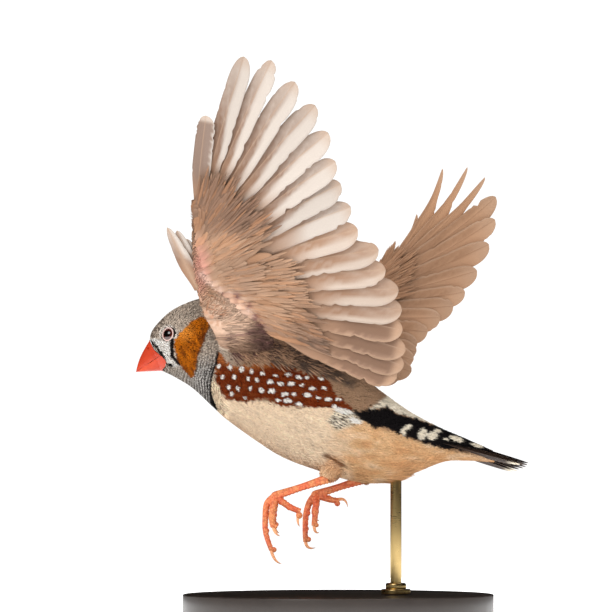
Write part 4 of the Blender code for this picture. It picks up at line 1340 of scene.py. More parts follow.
class Vane:
    """Builds closed vanes with webs, a raised shaft and small splits."""

    def __init__(self, seed: int) -> None:
        """Starts the seeded chance."""
        self.chance = np.random.default_rng(seed)

    def profile(self, cut: Cut, shares: Array) -> Array:
        """The share of its full width that a feather has from root to tip."""
        rise = cut.root_width + (1 - cut.root_width) * smooth(shares / cut.fullest)
        rise = rise * (1 - cut.notch * smooth((shares - 0.52) / 0.3))
        past = np.clip((shares - (1 - cut.rounding)) / cut.rounding, 0, 1)
        return rise * np.maximum(np.sqrt(1 - past**2), 0.05)

    def splits(self, cut: Cut, shares: Array) -> Array:
        """How much of the web's reach is left along its edge where the barbs have parted."""
        left = np.ones(len(shares))
        for _ in range(cut.splits):
            at = self.chance.uniform(0.3, 0.97)
            deep = self.chance.uniform(0.06, 0.22)
            length = self.chance.uniform(0.02, 0.045)
            back = np.clip((shares - at) / length, 0, 1)
            left -= np.where((shares >= at) & (shares < at + length), deep * (1 - back), 0)
        return np.clip(left, 0.55, 1)

    def build(
        self,
        cut: Cut,
        root: Array,
        tip: Array,
        up: Array,
        leading: Array,
        lie: Lie,
        paint: Painter,
        cell: Cell,
    ) -> Parts:
        """One feather.

        Args:
            cut: its kind.
            root: where its shaft starts, in millimetres.
            tip: where it ends.
            up: the direction that its camber and ridge rise to.
            leading: the direction of its leading edge.
            lie: how it lies.
            paint: gives colours for shares along and across.
            cell: its rectangle on the bake map, as left, bottom, width and height.

        Returns:
            The feather's parts.
        """
        rows = 1 - (1 - np.linspace(0, 1, cut.rows)) ** 1.25
        columns = np.array(cut.columns)
        length = float(np.linalg.norm(tip - root))
        wide = self.profile(cut, rows) * lie.width
        centre = root + (tip - root) * rows[:, None]
        bend = rows**2 - rows
        centre = centre + leading * (lie.bow * length * bend)[:, None]
        centre = centre + up * (lie.lift * smooth(rows / 0.45) - lie.arch * length * bend)[:, None]
        reach = np.where(columns > 0, columns * cut.outer_web, columns * (1 - cut.outer_web))
        edge = np.stack([self.splits(cut, rows), self.splits(cut, rows)], 1)
        kept = np.where(columns > 0, edge[:, 1:], edge[:, :1])
        kept = 1 - (1 - kept) * np.abs(columns) ** 3
        across = wide[:, None] * reach * kept
        heights = across * math.sin(lie.tilt) - cut.camber * np.abs(across) * np.abs(columns)
        spread = leading * (across * math.cos(lie.tilt))[..., None]
        sheet = centre[:, None] + spread + up * heights[..., None]
        taper = (1 - 0.65 * rows)[:, None]
        thick = cut.thickness * (1 - 0.6 * np.abs(columns)) * taper
        thick = thick + cut.shaft * np.exp(-((across / (0.34 * cut.shaft + 0.05)) ** 2)) * taper
        top = sheet + up * (thick / 2)[..., None]
        low = sheet - up * (thick / 2)[..., None]
        count, breadth = sheet.shape[:2]
        points = np.concatenate([top.reshape(-1, 3), low.reshape(-1, 3)])
        colours = paint(np.broadcast_to(rows[:, None], across.shape), np.broadcast_to(columns, across.shape))
        barbs = np.stack([across, np.broadcast_to((rows * length)[:, None], across.shape)], -1) / 10
        left, bottom, broad, tall = cell
        u = (columns + 1) / 2 * 0.46 * broad
        place = lambda shift: np.stack(
            np.broadcast_arrays(left + shift * broad + u[None], bottom + rows[:, None] * tall * 0.94), -1
        )
        bake = np.concatenate([place(0.02).reshape(-1, 2), place(0.52).reshape(-1, 2)])
        return Parts(
            points,
            self.faces(count, breadth),
            np.concatenate([colours.reshape(-1, 3)] * 2),
            bake,
            np.concatenate([barbs.reshape(-1, 2)] * 2),
        )

    @staticmethod
    def faces(count: int, breadth: int) -> Array:
        """Triangles of two like sheets and the rim between them."""
        i, j = np.meshgrid(np.arange(count - 1), np.arange(breadth - 1), indexing="ij")
        a = (i * breadth + j).ravel()
        b, c, d = a + 1, a + breadth + 1, a + breadth
        under = count * breadth
        top = np.concatenate([np.stack([a, d, c], 1), np.stack([a, c, b], 1)])
        low = np.concatenate([np.stack([a, c, d], 1), np.stack([a, b, c], 1)]) + under
        last = (count - 1) * breadth
        rim = [np.arange(breadth), breadth - 1 + breadth * np.arange(count)]
        rim += [last + np.arange(breadth)[::-1], breadth * np.arange(count)[::-1]]
        walls = []
        for side in rim:
            p, q = side[:-1], side[1:]
            walls += [np.stack([p, q, q + under], 1), np.stack([p, q + under, p + under], 1)]
        return np.concatenate([top, low] + walls)


def atlas(count: int, across: int) -> list[Cell]:
    """Rectangles that share out the bake map."""
    down = -(-count // across)
    return [(k % across / across, k // across / down, 1 / across, 1 / down) for k in range(count)]


def outwards(parts: Parts) -> Parts:
    """Turns a closed part's triangles round if they face inwards."""
    a, b, c = (parts.points[parts.faces[:, k]] for k in range(3))
    if (np.cross(a, b) * c).sum() < 0:
        parts.faces = parts.faces[:, ::-1]
    return parts


@dataclass
class WingPlan:
    """Sizes of one wing, whose surface is the plane y = offset + lean * z + sweep * x."""

    name: str
    plane: tuple
    flesh: tuple
    bones: tuple
    primaries: tuple
    secondaries: tuple
    alula: tuple
    dorsal: int
    bows: tuple
    scale: float
    seeds: tuple


LEFT = WingPlan(
    name="wing_left",
    plane=(5.1, -0.28, -0.12),
    flesh=(
        ((-31.0, 68.0), (-18.0, 69.0), 5.0),
        ((-34.0, 75.5), (-17.5, 76.0), 4.6),
        ((-36.6, 80.0), (-18.5, 81.0), 3.8),
        ((-38.6, 87.0), (-26.0, 86.5), 3.2),
        ((-39.3, 92.5), (-33.5, 92.0), 3.2),
        ((-39.6, 99.0), (-35.0, 98.5), 2.8),
        ((-39.6, 107.0), (-36.6, 106.5), 2.0),
        ((-39.2, 111.0), (-38.4, 111.0), 1.0),
    ),
    bones=((-22.5, 79.0), (-36.3, 91.5), (-38.2, 108.5)),
    primaries=(
        (3.2, 109.3), (0.5, 115.5), (-0.9, 121.4), (-2.8, 129.0), (-6.3, 136.3), (-11.7, 142.5),
        (-17.9, 148.2), (-25.2, 149.2), (-35.4, 133.6),
    ),
    secondaries=(
        (5.1, 103.3), (10.7, 97.9), (12.6, 92.5), (16.1, 87.1), (17.0, 81.7), (17.2, 76.3), (18.0, 70.9),
        (17.5, 66.6), (15.6, 63.4),
    ),
    alula=(
        ((-37.6, 87.4), (-45.8, 104.0)),
        ((-39.2, 91.4), (-43.3, 103.0)),
        ((-39.0, 92.6), (-40.9, 100.6)),
    ),
    dorsal=-1,
    bows=(-0.06, -0.04),
    scale=1.0,
    seeds=(13, 19),
)
RIGHT = WingPlan(
    name="wing_right",
    plane=(-16.5, 0.45, -0.05),
    flesh=(
        ((-27.0, 68.5), (-14.0, 67.5), 5.0),
        ((-24.5, 75.0), (-11.5, 70.5), 4.6),
        ((-18.0, 80.0), (-7.0, 73.5), 3.8),
        ((-10.0, 83.5), (-3.0, 77.5), 3.2),
        ((-3.0, 85.0), (1.0, 80.8), 3.0),
        ((3.2, 87.0), (6.4, 83.6), 2.6),
        ((7.6, 89.6), (9.8, 87.4), 1.8),
        ((10.2, 91.4), (11.0, 90.8), 1.0),
    ),
    bones=((-12.5, 73.0), (0.0, 81.7), (9.2, 88.9)),
    primaries=(
        (34.6, 86.6), (37.9, 92.4), (41.2, 99.6), (42.9, 106.4), (43.2, 112.6), (40.3, 118.0), (35.5, 120.8),
        (28.7, 120.4), (21.6, 107.9),
    ),
    secondaries=(
        (31.4, 82.8), (27.8, 79.6), (24.4, 75.8), (21.5, 72.3), (21.3, 70.4), (20.5, 68.2), (19.9, 65.0),
        (16.7, 63.4), (12.6, 63.6),
    ),
    alula=(
        ((-2.8, 84.0), (4.9, 97.6)),
        ((-1.9, 84.2), (6.9, 95.6)),
        ((-1.0, 84.4), (8.2, 93.2)),
    ),
    dorsal=1,
    bows=(0.05, 0.4),
    scale=0.82,
    seeds=(17, 23),
)


@dataclass
class Wing:
    """One wing: its flesh, flight feathers, coverts in tiers, alula and soft lining."""

    plan: WingPlan
    primary_width: float = 7.6
    secondary_width: float = 8.0
    slimmer_outside: float = 0.3
    shingle: float = math.radians(15.0)
    covert_shingle: float = math.radians(8.0)
    root_depth: float = 7.0
    flesh_rows: int = 24
    flesh_columns: int = 96
    bare_line: tuple = (
        (-31.0, 86.5), (-27.6, 86.0), (-23.5, 82.9), (-20.4, 79.8), (-21.8, 77.4), (-24.2, 75.0),
        (-28.7, 74.7),
    )
    # Pale arm and its orange-brown arcs: middle (x, z) and half sizes
    arm: tuple = (-29.4, 79.6, 7.8, 8.4)
    arcs: tuple = (-33.0, 82.0, 3.8, 5.8)
    # The pale line along the forearm's bone, and the plum spots behind it as middle (x, z) and reach
    forearm: tuple = ((-36.4, 91.4), (-34.6, 89.6), (-30.8, 87.2), (-27.0, 84.6), (-23.6, 81.4))
    plum_dots: tuple = ((-27.3, 86.1, 1.1), (-23.6, 83.5, 0.8), (-21.9, 80.8, 1.0), (-20.7, 77.9, 1.2))
    # Painted shade, tinged with plum, in the pit of the wing: middle (x, z) and half sizes
    pit_shades: tuple = ((-20.4, 74.6, 4.2, 3.6), (-29.4, 74.0, 1.8, 1.2))
    notched_from: int = 5
    shorter_outside: float = 0.62
    # Tiers of coverts on each face: share of the flight feather, width, root height and lift
    tiers: tuple = (
        (0.42, 5.4, 0.6, 0.8), (0.3, 4.2, 0.9, 0.72), (0.2, 3.4, 1.2, 0.6), (0.12, 2.8, 1.45, 0.45),
    )
    flight_cut: Cut = Cut(rounding=0.15)
    notched_cut: Cut = Cut(outer_web=0.28, root_width=0.4, fullest=0.3, rounding=0.3, notch=0.62, splits=3)
    covert_cut: Cut = Cut(
        outer_web=0.46, root_width=0.5, fullest=0.45, rounding=0.8, thickness=0.08, shaft=0.1, splits=6,
        rows=15, columns=(-1.0, -0.55, 0.0, 0.55, 1.0),
    )
    # Coverts: share of the flight feather's bow, narrowing towards the wing's tip and step between tiers
    covert_bow: float = 0.5
    covert_narrowing: float = 0.4
    covert_step: float = 0.4
    arch_primary: float = 0.035
    arch_secondary: float = 0.02
    alula_width: float = 4.3
    alula_heights: tuple = (0.75, 0.0, -0.75)
    # Loose barbs over the coverts: how many on the near face, then the ranges of their roots, lengths and
    # widths, and how far their tips stray and lift
    wisps: int = 840
    wisp_roots: tuple = (-0.03, 0.4)
    wisp_lengths: tuple = (4.0, 9.0)
    wisp_widths: tuple = (0.55, 1.1)
    wisp_stray: float = 0.35
    wisp_lift: float = 0.2
    wisp_cut: Cut = Cut(
        root_width=0.4, fullest=0.4, rounding=0.75, thickness=0.08, shaft=0.1, splits=0, rows=7,
        columns=(-1.0, 0.0, 1.0),
    )
    # Tufts on the flesh: their growth, the gaps' widths at the root, middle and end, and the skin's depth
    lining: Growth = Growth(0.75, 3.4, 0.4, 0.3)
    lining_gaps: tuple = (1.0, 0.72, 0.56)
    lining_depth: float = 0.5
    mottle_seed: int = 41

    def __post_init__(self) -> None:
        """Works out the wing's plane and flesh."""
        self.offset, self.lean, self.sweep = self.plan.plane
        self.face = unit(np.array([self.sweep, -1.0, self.lean]))
        self.dorsal = self.plan.dorsal
        vane_seed, seed = self.plan.seeds
        self.vanes, self.chance = Vane(vane_seed), np.random.default_rng(seed)
        self.surface = Surface(self.flesh_table())
        self.mottle = Mottle(self.mottle_seed)

    def on(self, spot: tuple[float, float], height: float = 0.0) -> Array:
        """The point of the wing's plane over an (x, z), raised along its near face."""
        x, z = spot
        return np.array([x, self.offset + self.lean * z + self.sweep * x, z]) + self.face * height

    def flesh_table(self) -> Array:
        """The flesh's surface, from inside the shoulder to the last finger."""
        fronts = np.array([self.on(front) for front, _, _ in self.plan.flesh])
        backs = np.array([self.on(back) for _, back, _ in self.plan.flesh])
        fronts[0, 1] = backs[0, 1] = self.dorsal * self.root_depth
        places = np.linspace(0, len(fronts) - 1, (len(fronts) - 1) * self.flesh_rows + 1)
        front, back = spline(fronts, places), spline(backs, places)
        thick = spline([(t,) for _, _, t in self.plan.flesh], places)
        return ellipses((front + back) / 2, (front - back) / 2, self.face * (thick / 2), self.flesh_columns)

    @staticmethod
    def rank(index: float) -> float:
        """A feather's place among its own kind, from 0 to 1."""
        return (index if index < PRIMARIES else index - PRIMARIES) / (PRIMARIES - 1)

    def feathers(self) -> list[tuple[Array, Array, float, float]]:
        """Root, tip, width and bow of each flight feather, primaries outwards and secondaries inwards."""
        elbow, wrist, finger = (np.array(bone) for bone in self.plan.bones)
        inner, outer = self.plan.bows
        found = []
        for k, tip in enumerate(self.plan.primaries):
            outside = self.rank(k) ** 2
            width = self.primary_width * self.plan.scale * (1 - self.slimmer_outside * outside)
            root = wrist + (finger - wrist) * (k + 0.5) / PRIMARIES
            found.append((root, np.array(tip), width, inner + (outer - inner) * outside))
        for k, tip in enumerate(self.plan.secondaries):
            root = wrist + (elbow - wrist) * (k + 0.5) / len(self.plan.secondaries)
            found.append((root, np.array(tip), self.secondary_width * self.plan.scale, inner))
        return found

    def lay(self, cut: Cut, root: Array, tip: Array, lie: Lie, paint: Painter, cell: Cell) -> Parts:
        """Lays one feather on the wing's plane."""
        near, far = self.on(tuple(root), lie.height), self.on(tuple(tip), lie.height)
        leading = unit(np.cross(self.face, far - near))
        lie = replace(lie, width=lie.width * self.chance.uniform(0.97, 1.05), tilt=self.dorsal * lie.tilt)
        return outwards(self.vanes.build(cut, near, far, self.face, leading, lie, paint, cell))

    def flight_paint(self, index: int) -> Painter:
        """Colours of one flight feather: a pale inner web and a brown band on the leading one, partly painted
        shade.
        """
        primary, rank = index < PRIMARIES, self.rank(index)
        shade = self.chance.uniform(-0.07, 0.07)
        drift = self.chance.uniform(-0.1, 0.1)

        def under(along: Array, across: Array) -> Array:
            """Pale underside with a soft band that narrows towards the tip, and painted shadow at the root
            below the coverts.
            """
            full = np.ones(along.shape)
            cloud = self.mottle.at(along * 5.0 + 3.1 * index, across * 1.2 + 1.7 * index)
            barbs = self.mottle.at(along * 46.0 - np.abs(across) * 9.0 + index, across * 0.8)
            pale = mix(Tone.VANE, Tone.VANE_WARM, full * (0.06 if primary else 0.35 + 0.3 * rank))
            seen = (1.5 if primary else 1.15 - 0.3 * rank) * (along + 0.05)
            begin = (0.56 if primary else 0.42 - 0.3 * rank) + drift + 0.12 * cloud
            start = -1 + begin * np.minimum(seen, 1.3)
            strength = 1 - (0.6 if primary else 0.3) * smooth((along - 0.4) / 0.6)
            # The band is partly the leading web's own brown and partly painted shade where two webs overlap
            # against the light
            band = smooth((across - start) / (0.1 + 0.25 * along)) * strength * (1 + 0.25 * barbs)
            dark = mix(Tone.BAND, Tone.BAND_DARK, smooth(0.8 - along) * 0.7)
            if not primary:
                dark = mix(dark, Tone.LINING, full * 0.4 * (1 - rank))
            colour = mix(pale, dark, np.clip(band, 0, 1))
            if rank > 0.6 and not primary or index == PRIMARIES - 1:
                middle = smooth((0.9 + across + 0.05 * barbs) / 0.14) * smooth((0.97 - along) / 0.05)
                rim = Tone.VANE if primary else Tone.LINING
                colour = mix(mix(colour, rim, 0.7 * full), Tone.BAND_DARK, 0.8 * middle)
            reach = self.tiers[0][0] * (1 - self.shorter_outside * rank if primary else 1)
            # Painted shadow at the root, below the ends of the coverts
            root = smooth((reach + 0.3 + 0.1 * cloud - along) / 0.3) * 0.85
            colour = mix(colour, mix(Tone.LINING, Tone.BAND, full * 0.6), root)
            return mix(colour, Tone.VANE_WARM, 0.5 * smooth((along - 0.9) / 0.1))

        def over(along: Array, across: Array) -> Array:
            """Brown upper side, darker on the leading web, with a thin pale edge."""
            full = np.ones(along.shape)
            pale = mix(Tone.FAR, Tone.VANE_WARM, full * (0.3 - 0.2 * rank))
            cloud = self.mottle.at(along * 4.0 + 2.3 * index, across * 1.5 + 1.1 * index)
            barbs = self.mottle.at(along * 52.0 - np.abs(across) * 9.0 + index, across * 0.8)
            band = smooth((across + 0.35 - 0.3 * along + 0.3 * cloud) / 0.5) * (1 - 0.45 * along)
            colour = mix(pale, Tone.FAR_DARK, np.clip(band * (0.8 + 0.35 * barbs), 0, 1))
            colour = mix(colour, Tone.VANE_WARM, 0.5 * smooth((along - 0.8) / 0.2))
            return mix(colour, Tone.VANE_WARM, smooth((across - 0.8) / 0.15) * (0.45 + 0.35 * cloud))

        def paint(along: Array, across: Array) -> Array:
            """Colours for shares along and across."""
            colour = (under if self.dorsal < 0 else over)(along, across)
            shaft = smooth(1 - np.abs(across) / 0.07)
            quill = Tone.VANE_WARM if self.dorsal < 0 else Tone.FAR_DARK
            return np.clip(mix(colour, quill, 0.6 * shaft) * (1 + shade), 0, 1)

        return paint

    def soft_tone(self, under: bool, x: Array, z: Array) -> Array:
        """Colours of coverts and lining at some (x, z) of one face of the wing; on the underside with painted
        shade low on the arm, at its rear and in its pit.
        """
        cloud = 0.5 + 0.5 * self.mottle.at(x * 0.16, z * 0.16)
        fine = 0.5 + 0.5 * self.mottle.at(x * 0.9 + z * 0.3, z * 1.6)
        if not under:
            return mix(Tone.FAR, Tone.FAR_DARK, 0.2 + 0.35 * cloud + 0.2 * fine)
        colour = mix(Tone.LINING, Tone.BAND, 0.15 + 0.6 * cloud)
        colour = mix(colour, Tone.VANE_WARM, 0.4 * fine)
        colour = mix(colour, Tone.BAND_DARK, 0.75 * smooth((z - 99.0) / 7.0))
        # Painted shade towards the rear of the arm, where it meets the body
        rear = smooth((x + 20.0 - 0.35 * (z - 80.0)) / 14.0) * smooth((86.0 - z) / 8.0)
        colour = mix(colour, Tone.BAND_DARK, 0.6 * rear)
        bare = smooth(1.25 - np.hypot((x + 36.8) / 2.8, (z - 93.0) / 9.0))
        colour = mix(colour, Tone.PINK, bare * (0.45 + 0.4 * fine))
        arm, ridge = (
            smooth(1.5 - 1.2 * np.hypot((x - mid_x) / half_x, (z - mid_z) / half_z))
            for mid_x, mid_z, half_x, half_z in (self.arm, self.arcs)
        )
        colour = mix(colour, Tone.ARM, (0.55 + 0.35 * fine) * arm)
        arcs = smooth(np.sin((z + 0.55 * x) * 3.4 + 2.0 * cloud) - 0.1)
        colour = mix(colour, Tone.CHESTNUT_PALE, 0.6 * arcs * ridge)
        pale = smooth((2.1 - edge_distance(self.forearm, x, z)) / 1.9)
        colour = mix(colour, Tone.FOREARM, pale * (0.3 + 0.4 * fine))
        for mid_x, mid_z, reach in self.plum_dots:
            dot = smooth(1.5 - np.hypot((x - mid_x) / reach, (z - mid_z) / reach / 0.8))
            colour = mix(colour, Tone.PLUM, dot * (0.75 + 0.25 * fine))
        plum = smooth((0.9 - edge_distance(self.bare_line, x, z)) / 0.8) * smooth(fine * 2 - 0.6)
        colour = mix(colour, Tone.PLUM, 0.65 * plum)
        # Painted shade along the arm's lower border, over its own grey-brown
        low = smooth((74.0 - z + 0.15 * (x + 26.0)) / 3.0)
        colour = mix(colour, mix(Tone.BAND, Tone.SHADE, fine), 0.75 * low)
        # Painted shade, tinged with plum, in the pit of the wing
        for mid_x, mid_z, half_x, half_z in self.pit_shades:
            dark = smooth(1.6 - 1.2 * np.hypot((x - mid_x) / half_x, (z - mid_z) / half_z))
            colour = mix(colour, mix(Tone.SHADE, Tone.PLUM, fine * 0.8), dark * (0.55 + 0.4 * fine))
        return colour

    def covert_paint(self, under: bool, start: Array, end: Array) -> Painter:
        """Colours of one covert or wisp, in its own shade of the wing's soft colours.

        Args:
            under: whether it lies on the wing's underside.
            start: its root, as (x, z).
            end: its tip, as (x, z).

        Returns:
            The painter.
        """
        shade = self.chance.uniform(-0.16, 0.16)
        warm = self.chance.uniform(0.0, 1.0)
        accent = Tone.STREAK if under else Tone.FAR_DARK

        def paint(along: Array, across: Array) -> Array:
            """Colours for shares along and across."""
            spot = start + (end - start) * along[..., None]
            base = self.soft_tone(under, spot[..., 0], spot[..., 1])
            base = mix(base, accent, 0.35 * smooth((warm - 0.55) / 0.3) * np.ones(along.shape))
            streak = smooth(1 - np.abs(across) / 0.35) * smooth((0.95 - along) / 0.3)
            base = mix(base, Tone.BAND_DARK, 0.25 * streak)
            rim = smooth((along - 0.75) / 0.25)
            return np.clip(mix(base, Tone.VANE_WARM, 0.22 * rim) * (1 + shade), 0, 1)

        return paint

    def build_flights(self) -> Parts:
        """Primaries and secondaries, each overlapping the next like roof tiles."""
        feathers = self.feathers()
        cells = atlas(len(feathers), len(feathers))
        made = []
        for index, ((root, tip, width, bow), cell) in enumerate(zip(feathers, cells)):
            paint = self.flight_paint(index)
            arch = self.dorsal * (self.arch_primary if index < PRIMARIES else self.arch_secondary)
            notched = self.dorsal > 0 and self.notched_from <= index < PRIMARIES
            cut = self.notched_cut if notched else self.flight_cut
            made.append(self.lay(cut, root, tip, Lie(width, self.shingle, bow, arch), paint, cell))
        return Parts.joined(made)

    def build_coverts(self, side: Face) -> Parts:
        """The tiers of coverts over the roots of the flight feathers on one face."""
        feathers = self.feathers()
        cells = atlas(len(feathers) * len(self.tiers), 14)
        under = side.value * self.dorsal < 0
        made = []
        for tier, (reach, width, height, lift) in enumerate(self.tiers):
            for index, (root, tip, _, bow) in enumerate(feathers):
                outside = self.rank(index) if index < PRIMARIES else 0.0
                share = reach * self.chance.uniform(0.88, 1.12) * (1 - self.shorter_outside * outside)
                along = tip - root
                bend = bow * (share * share - share)
                end = root + along * share + np.array([-along[1], along[0]]) * bend
                start = root - along / np.linalg.norm(along) * (self.covert_step * tier)
                lie = Lie(
                    width=width * self.plan.scale * (1 - self.covert_narrowing * outside),
                    tilt=self.covert_shingle,
                    bow=bow * self.covert_bow,
                    height=side.value * height,
                    lift=side.value * lift,
                )
                paint = self.covert_paint(under, start, end)
                made.append(self.lay(self.covert_cut, start, end, lie, paint, cells[len(made)]))
        return Parts.joined(made)

    def build_wisps(self, side: Face) -> Parts:
        """Narrow loose barbs over the coverts, which soften their edges."""
        feathers = self.feathers()
        under = side.value * self.dorsal < 0
        count = self.wisps if side is Face.CAMERA else self.wisps // 2
        places = self.chance.uniform(0, PRIMARIES - 1, count)
        places[::2] += PRIMARIES
        cells = atlas(count, 20)
        made = []
        for place, cell in zip(places, cells):
            index = int(place)
            (root, tip, _, bow), (next_root, next_tip, _, _) = feathers[index], feathers[index + 1]
            root, tip = (a + (b - a) * (place - index) for a, b in ((root, next_root), (tip, next_tip)))
            outside = self.rank(place) if place < PRIMARIES else 0.0
            first = self.chance.uniform(*self.wisp_roots) * (1 - self.shorter_outside * outside)
            along = tip - root
            length = np.linalg.norm(along)
            last = first + self.chance.uniform(*self.wisp_lengths) / length
            start, end = root + along * first, root + along * last
            stray = self.chance.normal(0, self.wisp_stray)
            end = end + np.array([-along[1], along[0]]) / length * stray
            height = 1.75 + 0.35 * smooth(first / 0.1) - 0.5 * outside - 0.5 * smooth((first - 0.2) / 0.1)
            lie = Lie(
                width=self.chance.uniform(*self.wisp_widths) * self.plan.scale,
                tilt=self.covert_shingle,
                bow=bow * self.covert_bow,
                height=side.value * height,
                lift=side.value * self.chance.uniform(-self.wisp_lift, self.wisp_lift),
            )
            made.append(self.lay(self.wisp_cut, start, end, lie, self.covert_paint(under, start, end), cell))
        return Parts.joined(made)

    def build_alula(self) -> Parts:
        """The three feathers in front of the wrist."""
        made = []
        for (root, tip), height, cell in zip(self.plan.alula, self.alula_heights, atlas(3, 3)):
            paint = self.flight_paint(4)
            lie = Lie(self.alula_width, self.covert_shingle, height=height)
            made.append(self.lay(self.covert_cut, np.array(root), np.array(tip), lie, paint, cell))
        return Parts.joined(made)

    def lining_paint(self, rows: Array, columns: Array) -> Array:
        """Colours of the small soft feathers on the flesh."""
        points = self.surface.read(self.surface.points, rows, columns)
        x, z = points[..., 0], points[..., 2]
        underside = np.sin(2 * math.pi * columns / self.flesh_columns) * self.dorsal < 0
        return np.where(underside[..., None], self.soft_tone(True, x, z), self.soft_tone(False, x, z))

    def build_lining(self, coat: Coat) -> Parts:
        """Small tufts over both faces of the flesh, lying outwards, and straight back at the root."""
        last = self.surface.rows - 1
        within = np.array([self.flesh_rows * 0.12, last * 0.5, last - 2.0])
        rows, columns = coat.roots(self.surface, within, np.array(self.lining_gaps))
        growth = self.lining.rows(len(rows))
        growth[:, 1] *= 1 + 1.3 * smooth((3.0 - rows / self.flesh_rows) / 1.5)
        growth[:, 3] += 0.6 * smooth(1.4 - rows / self.flesh_rows)
        back = np.where(columns % self.flesh_columns < self.flesh_columns / 2, 1.0, -1.0)
        lie = 50 + 85 * smooth(1 - rows / (2.2 * self.flesh_rows))
        turns = back * (np.radians(lie) + self.chance.normal(0, 0.12, len(rows)))
        zone = 0.0 if self.dorsal < 0 else 0.5

        def unwrap(at_rows: Array, at_columns: Array) -> Array:
            """Places on the lower part of the bake map."""
            around = 0.02 + 0.3 * at_columns / self.flesh_columns
            return np.stack([0.02 + zone + 0.44 * at_rows / last, around], -1)

        depth, paint = self.lining_depth, self.lining_paint
        return coat.grow(self.surface, rows, columns, growth, turns, paint, unwrap, depth)

    def build(
        self, coat: Coat, vanes: bpy.types.Material, soft: bpy.types.Material
    ) -> list[bpy.types.Object]:
        """All of the wing's feathers.

        Args:
            coat: grows the lining.
            vanes: finish of the vanes.
            soft: finish of the tufts.

        Returns:
            The pieces made.
        """
        name = self.plan.name
        flights = Workshop.from_parts(name + "_flights", self.build_flights(), vanes)
        made = [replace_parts(flights, name)]
        for side in Face:
            label = "under" if side.value * self.dorsal < 0 else "over"
            coverts = Parts.joined([self.build_coverts(side), self.build_wisps(side)])
            made.append(Workshop.from_parts(f"{name}_coverts_{label}", coverts, vanes))
        made.append(Workshop.from_parts(name + "_alula", self.build_alula(), vanes))
        made.append(Workshop.from_parts(name + "_lining", self.build_lining(coat), soft))
        return made


@dataclass
class Tail:
    """Twelve tail feathers in layers."""

    trunk: Trunk
    pairs: int = 6
    lengths: tuple = (31.8, 31.6, 31.1, 30.2, 29.9, 29.2)
    width: float = 5.0
    fan: float = math.radians(1.4)
    spread: float = 0.32
    roots: float = -8.0
    layer: float = 0.38
    top_layer: float = 1.5
    slope: float = math.radians(-16.6)
    root_station: int = 11
    seed: int = 31
    vane_seed: int = 29
    cut: Cut = Cut(outer_web=0.4, root_width=0.45, fullest=0.5, rounding=0.34, splits=3, shaft=0.3)

    def paint(self, chance: np.random.Generator, level: float) -> Painter:
        """Dark feathers with browner, paler edges."""
        shade = chance.uniform(-0.15, 0.15)

        def colours(along: Array, across: Array) -> Array:
            """Colours for shares along and across."""
            rim = smooth((np.abs(across) - 0.7) / 0.3) * smooth((along - 0.3) / 0.3)
            colour = mix(Tone.TAIL, Tone.BAND_DARK, rim * 0.6)
            tip = smooth((along - 0.88) / 0.1) * smooth((level - 3.0) / 1.0)
            colour = mix(colour, Tone.RUMP, tip)
            return np.clip(colour * (1 + shade), 0, 1)

        return colours

    def build(self, vanes: bpy.types.Material) -> bpy.types.Object:
        """The tail feathers as one piece.

        Args:
            vanes: their finish.

        Returns:
            The piece made.
        """
        trunk = self.trunk
        ring = trunk.rings(np.array([float(self.root_station)]))[0]
        centre = ring.mean(axis=0)
        sideways = -trunk.swing_slope * math.cos(self.slope)
        along = unit(np.array([math.cos(self.slope), sideways, math.sin(self.slope)]))
        bank = Matrix.Rotation(-trunk.bank, 3, Vector(along))
        side = np.array(bank @ Vector((0, 1, 0)))
        up = np.cross(side, along)
        up = up if up[2] > 0 else -up
        chance = np.random.default_rng(self.seed)
        maker = Vane(self.vane_seed)
        cells = atlas(2 * self.pairs, 2 * self.pairs)
        lie = Lie(self.width)
        made = []
        for pair in range(self.pairs):
            for hand in (-1, 1):
                level = pair + (0.5 * (1 + hand) - 1 if pair == 0 else 0)
                fan = hand * self.fan * (pair + 0.6)
                direction = along * math.cos(fan) + side * math.sin(fan)
                base = centre + along * self.roots + side * hand * self.spread * (pair + 0.5)
                base = base + up * (self.top_layer - self.layer * level)
                tip, paint = base + direction * self.lengths[pair], self.paint(chance, level)
                cell = cells[len(made)]
                made.append(outwards(maker.build(self.cut, base, tip, up, side * hand, lie, paint, cell)))
        obj = Workshop.from_parts("tail_feathers", Parts.joined(made), vanes)
        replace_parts(obj, "tail")
        return obj


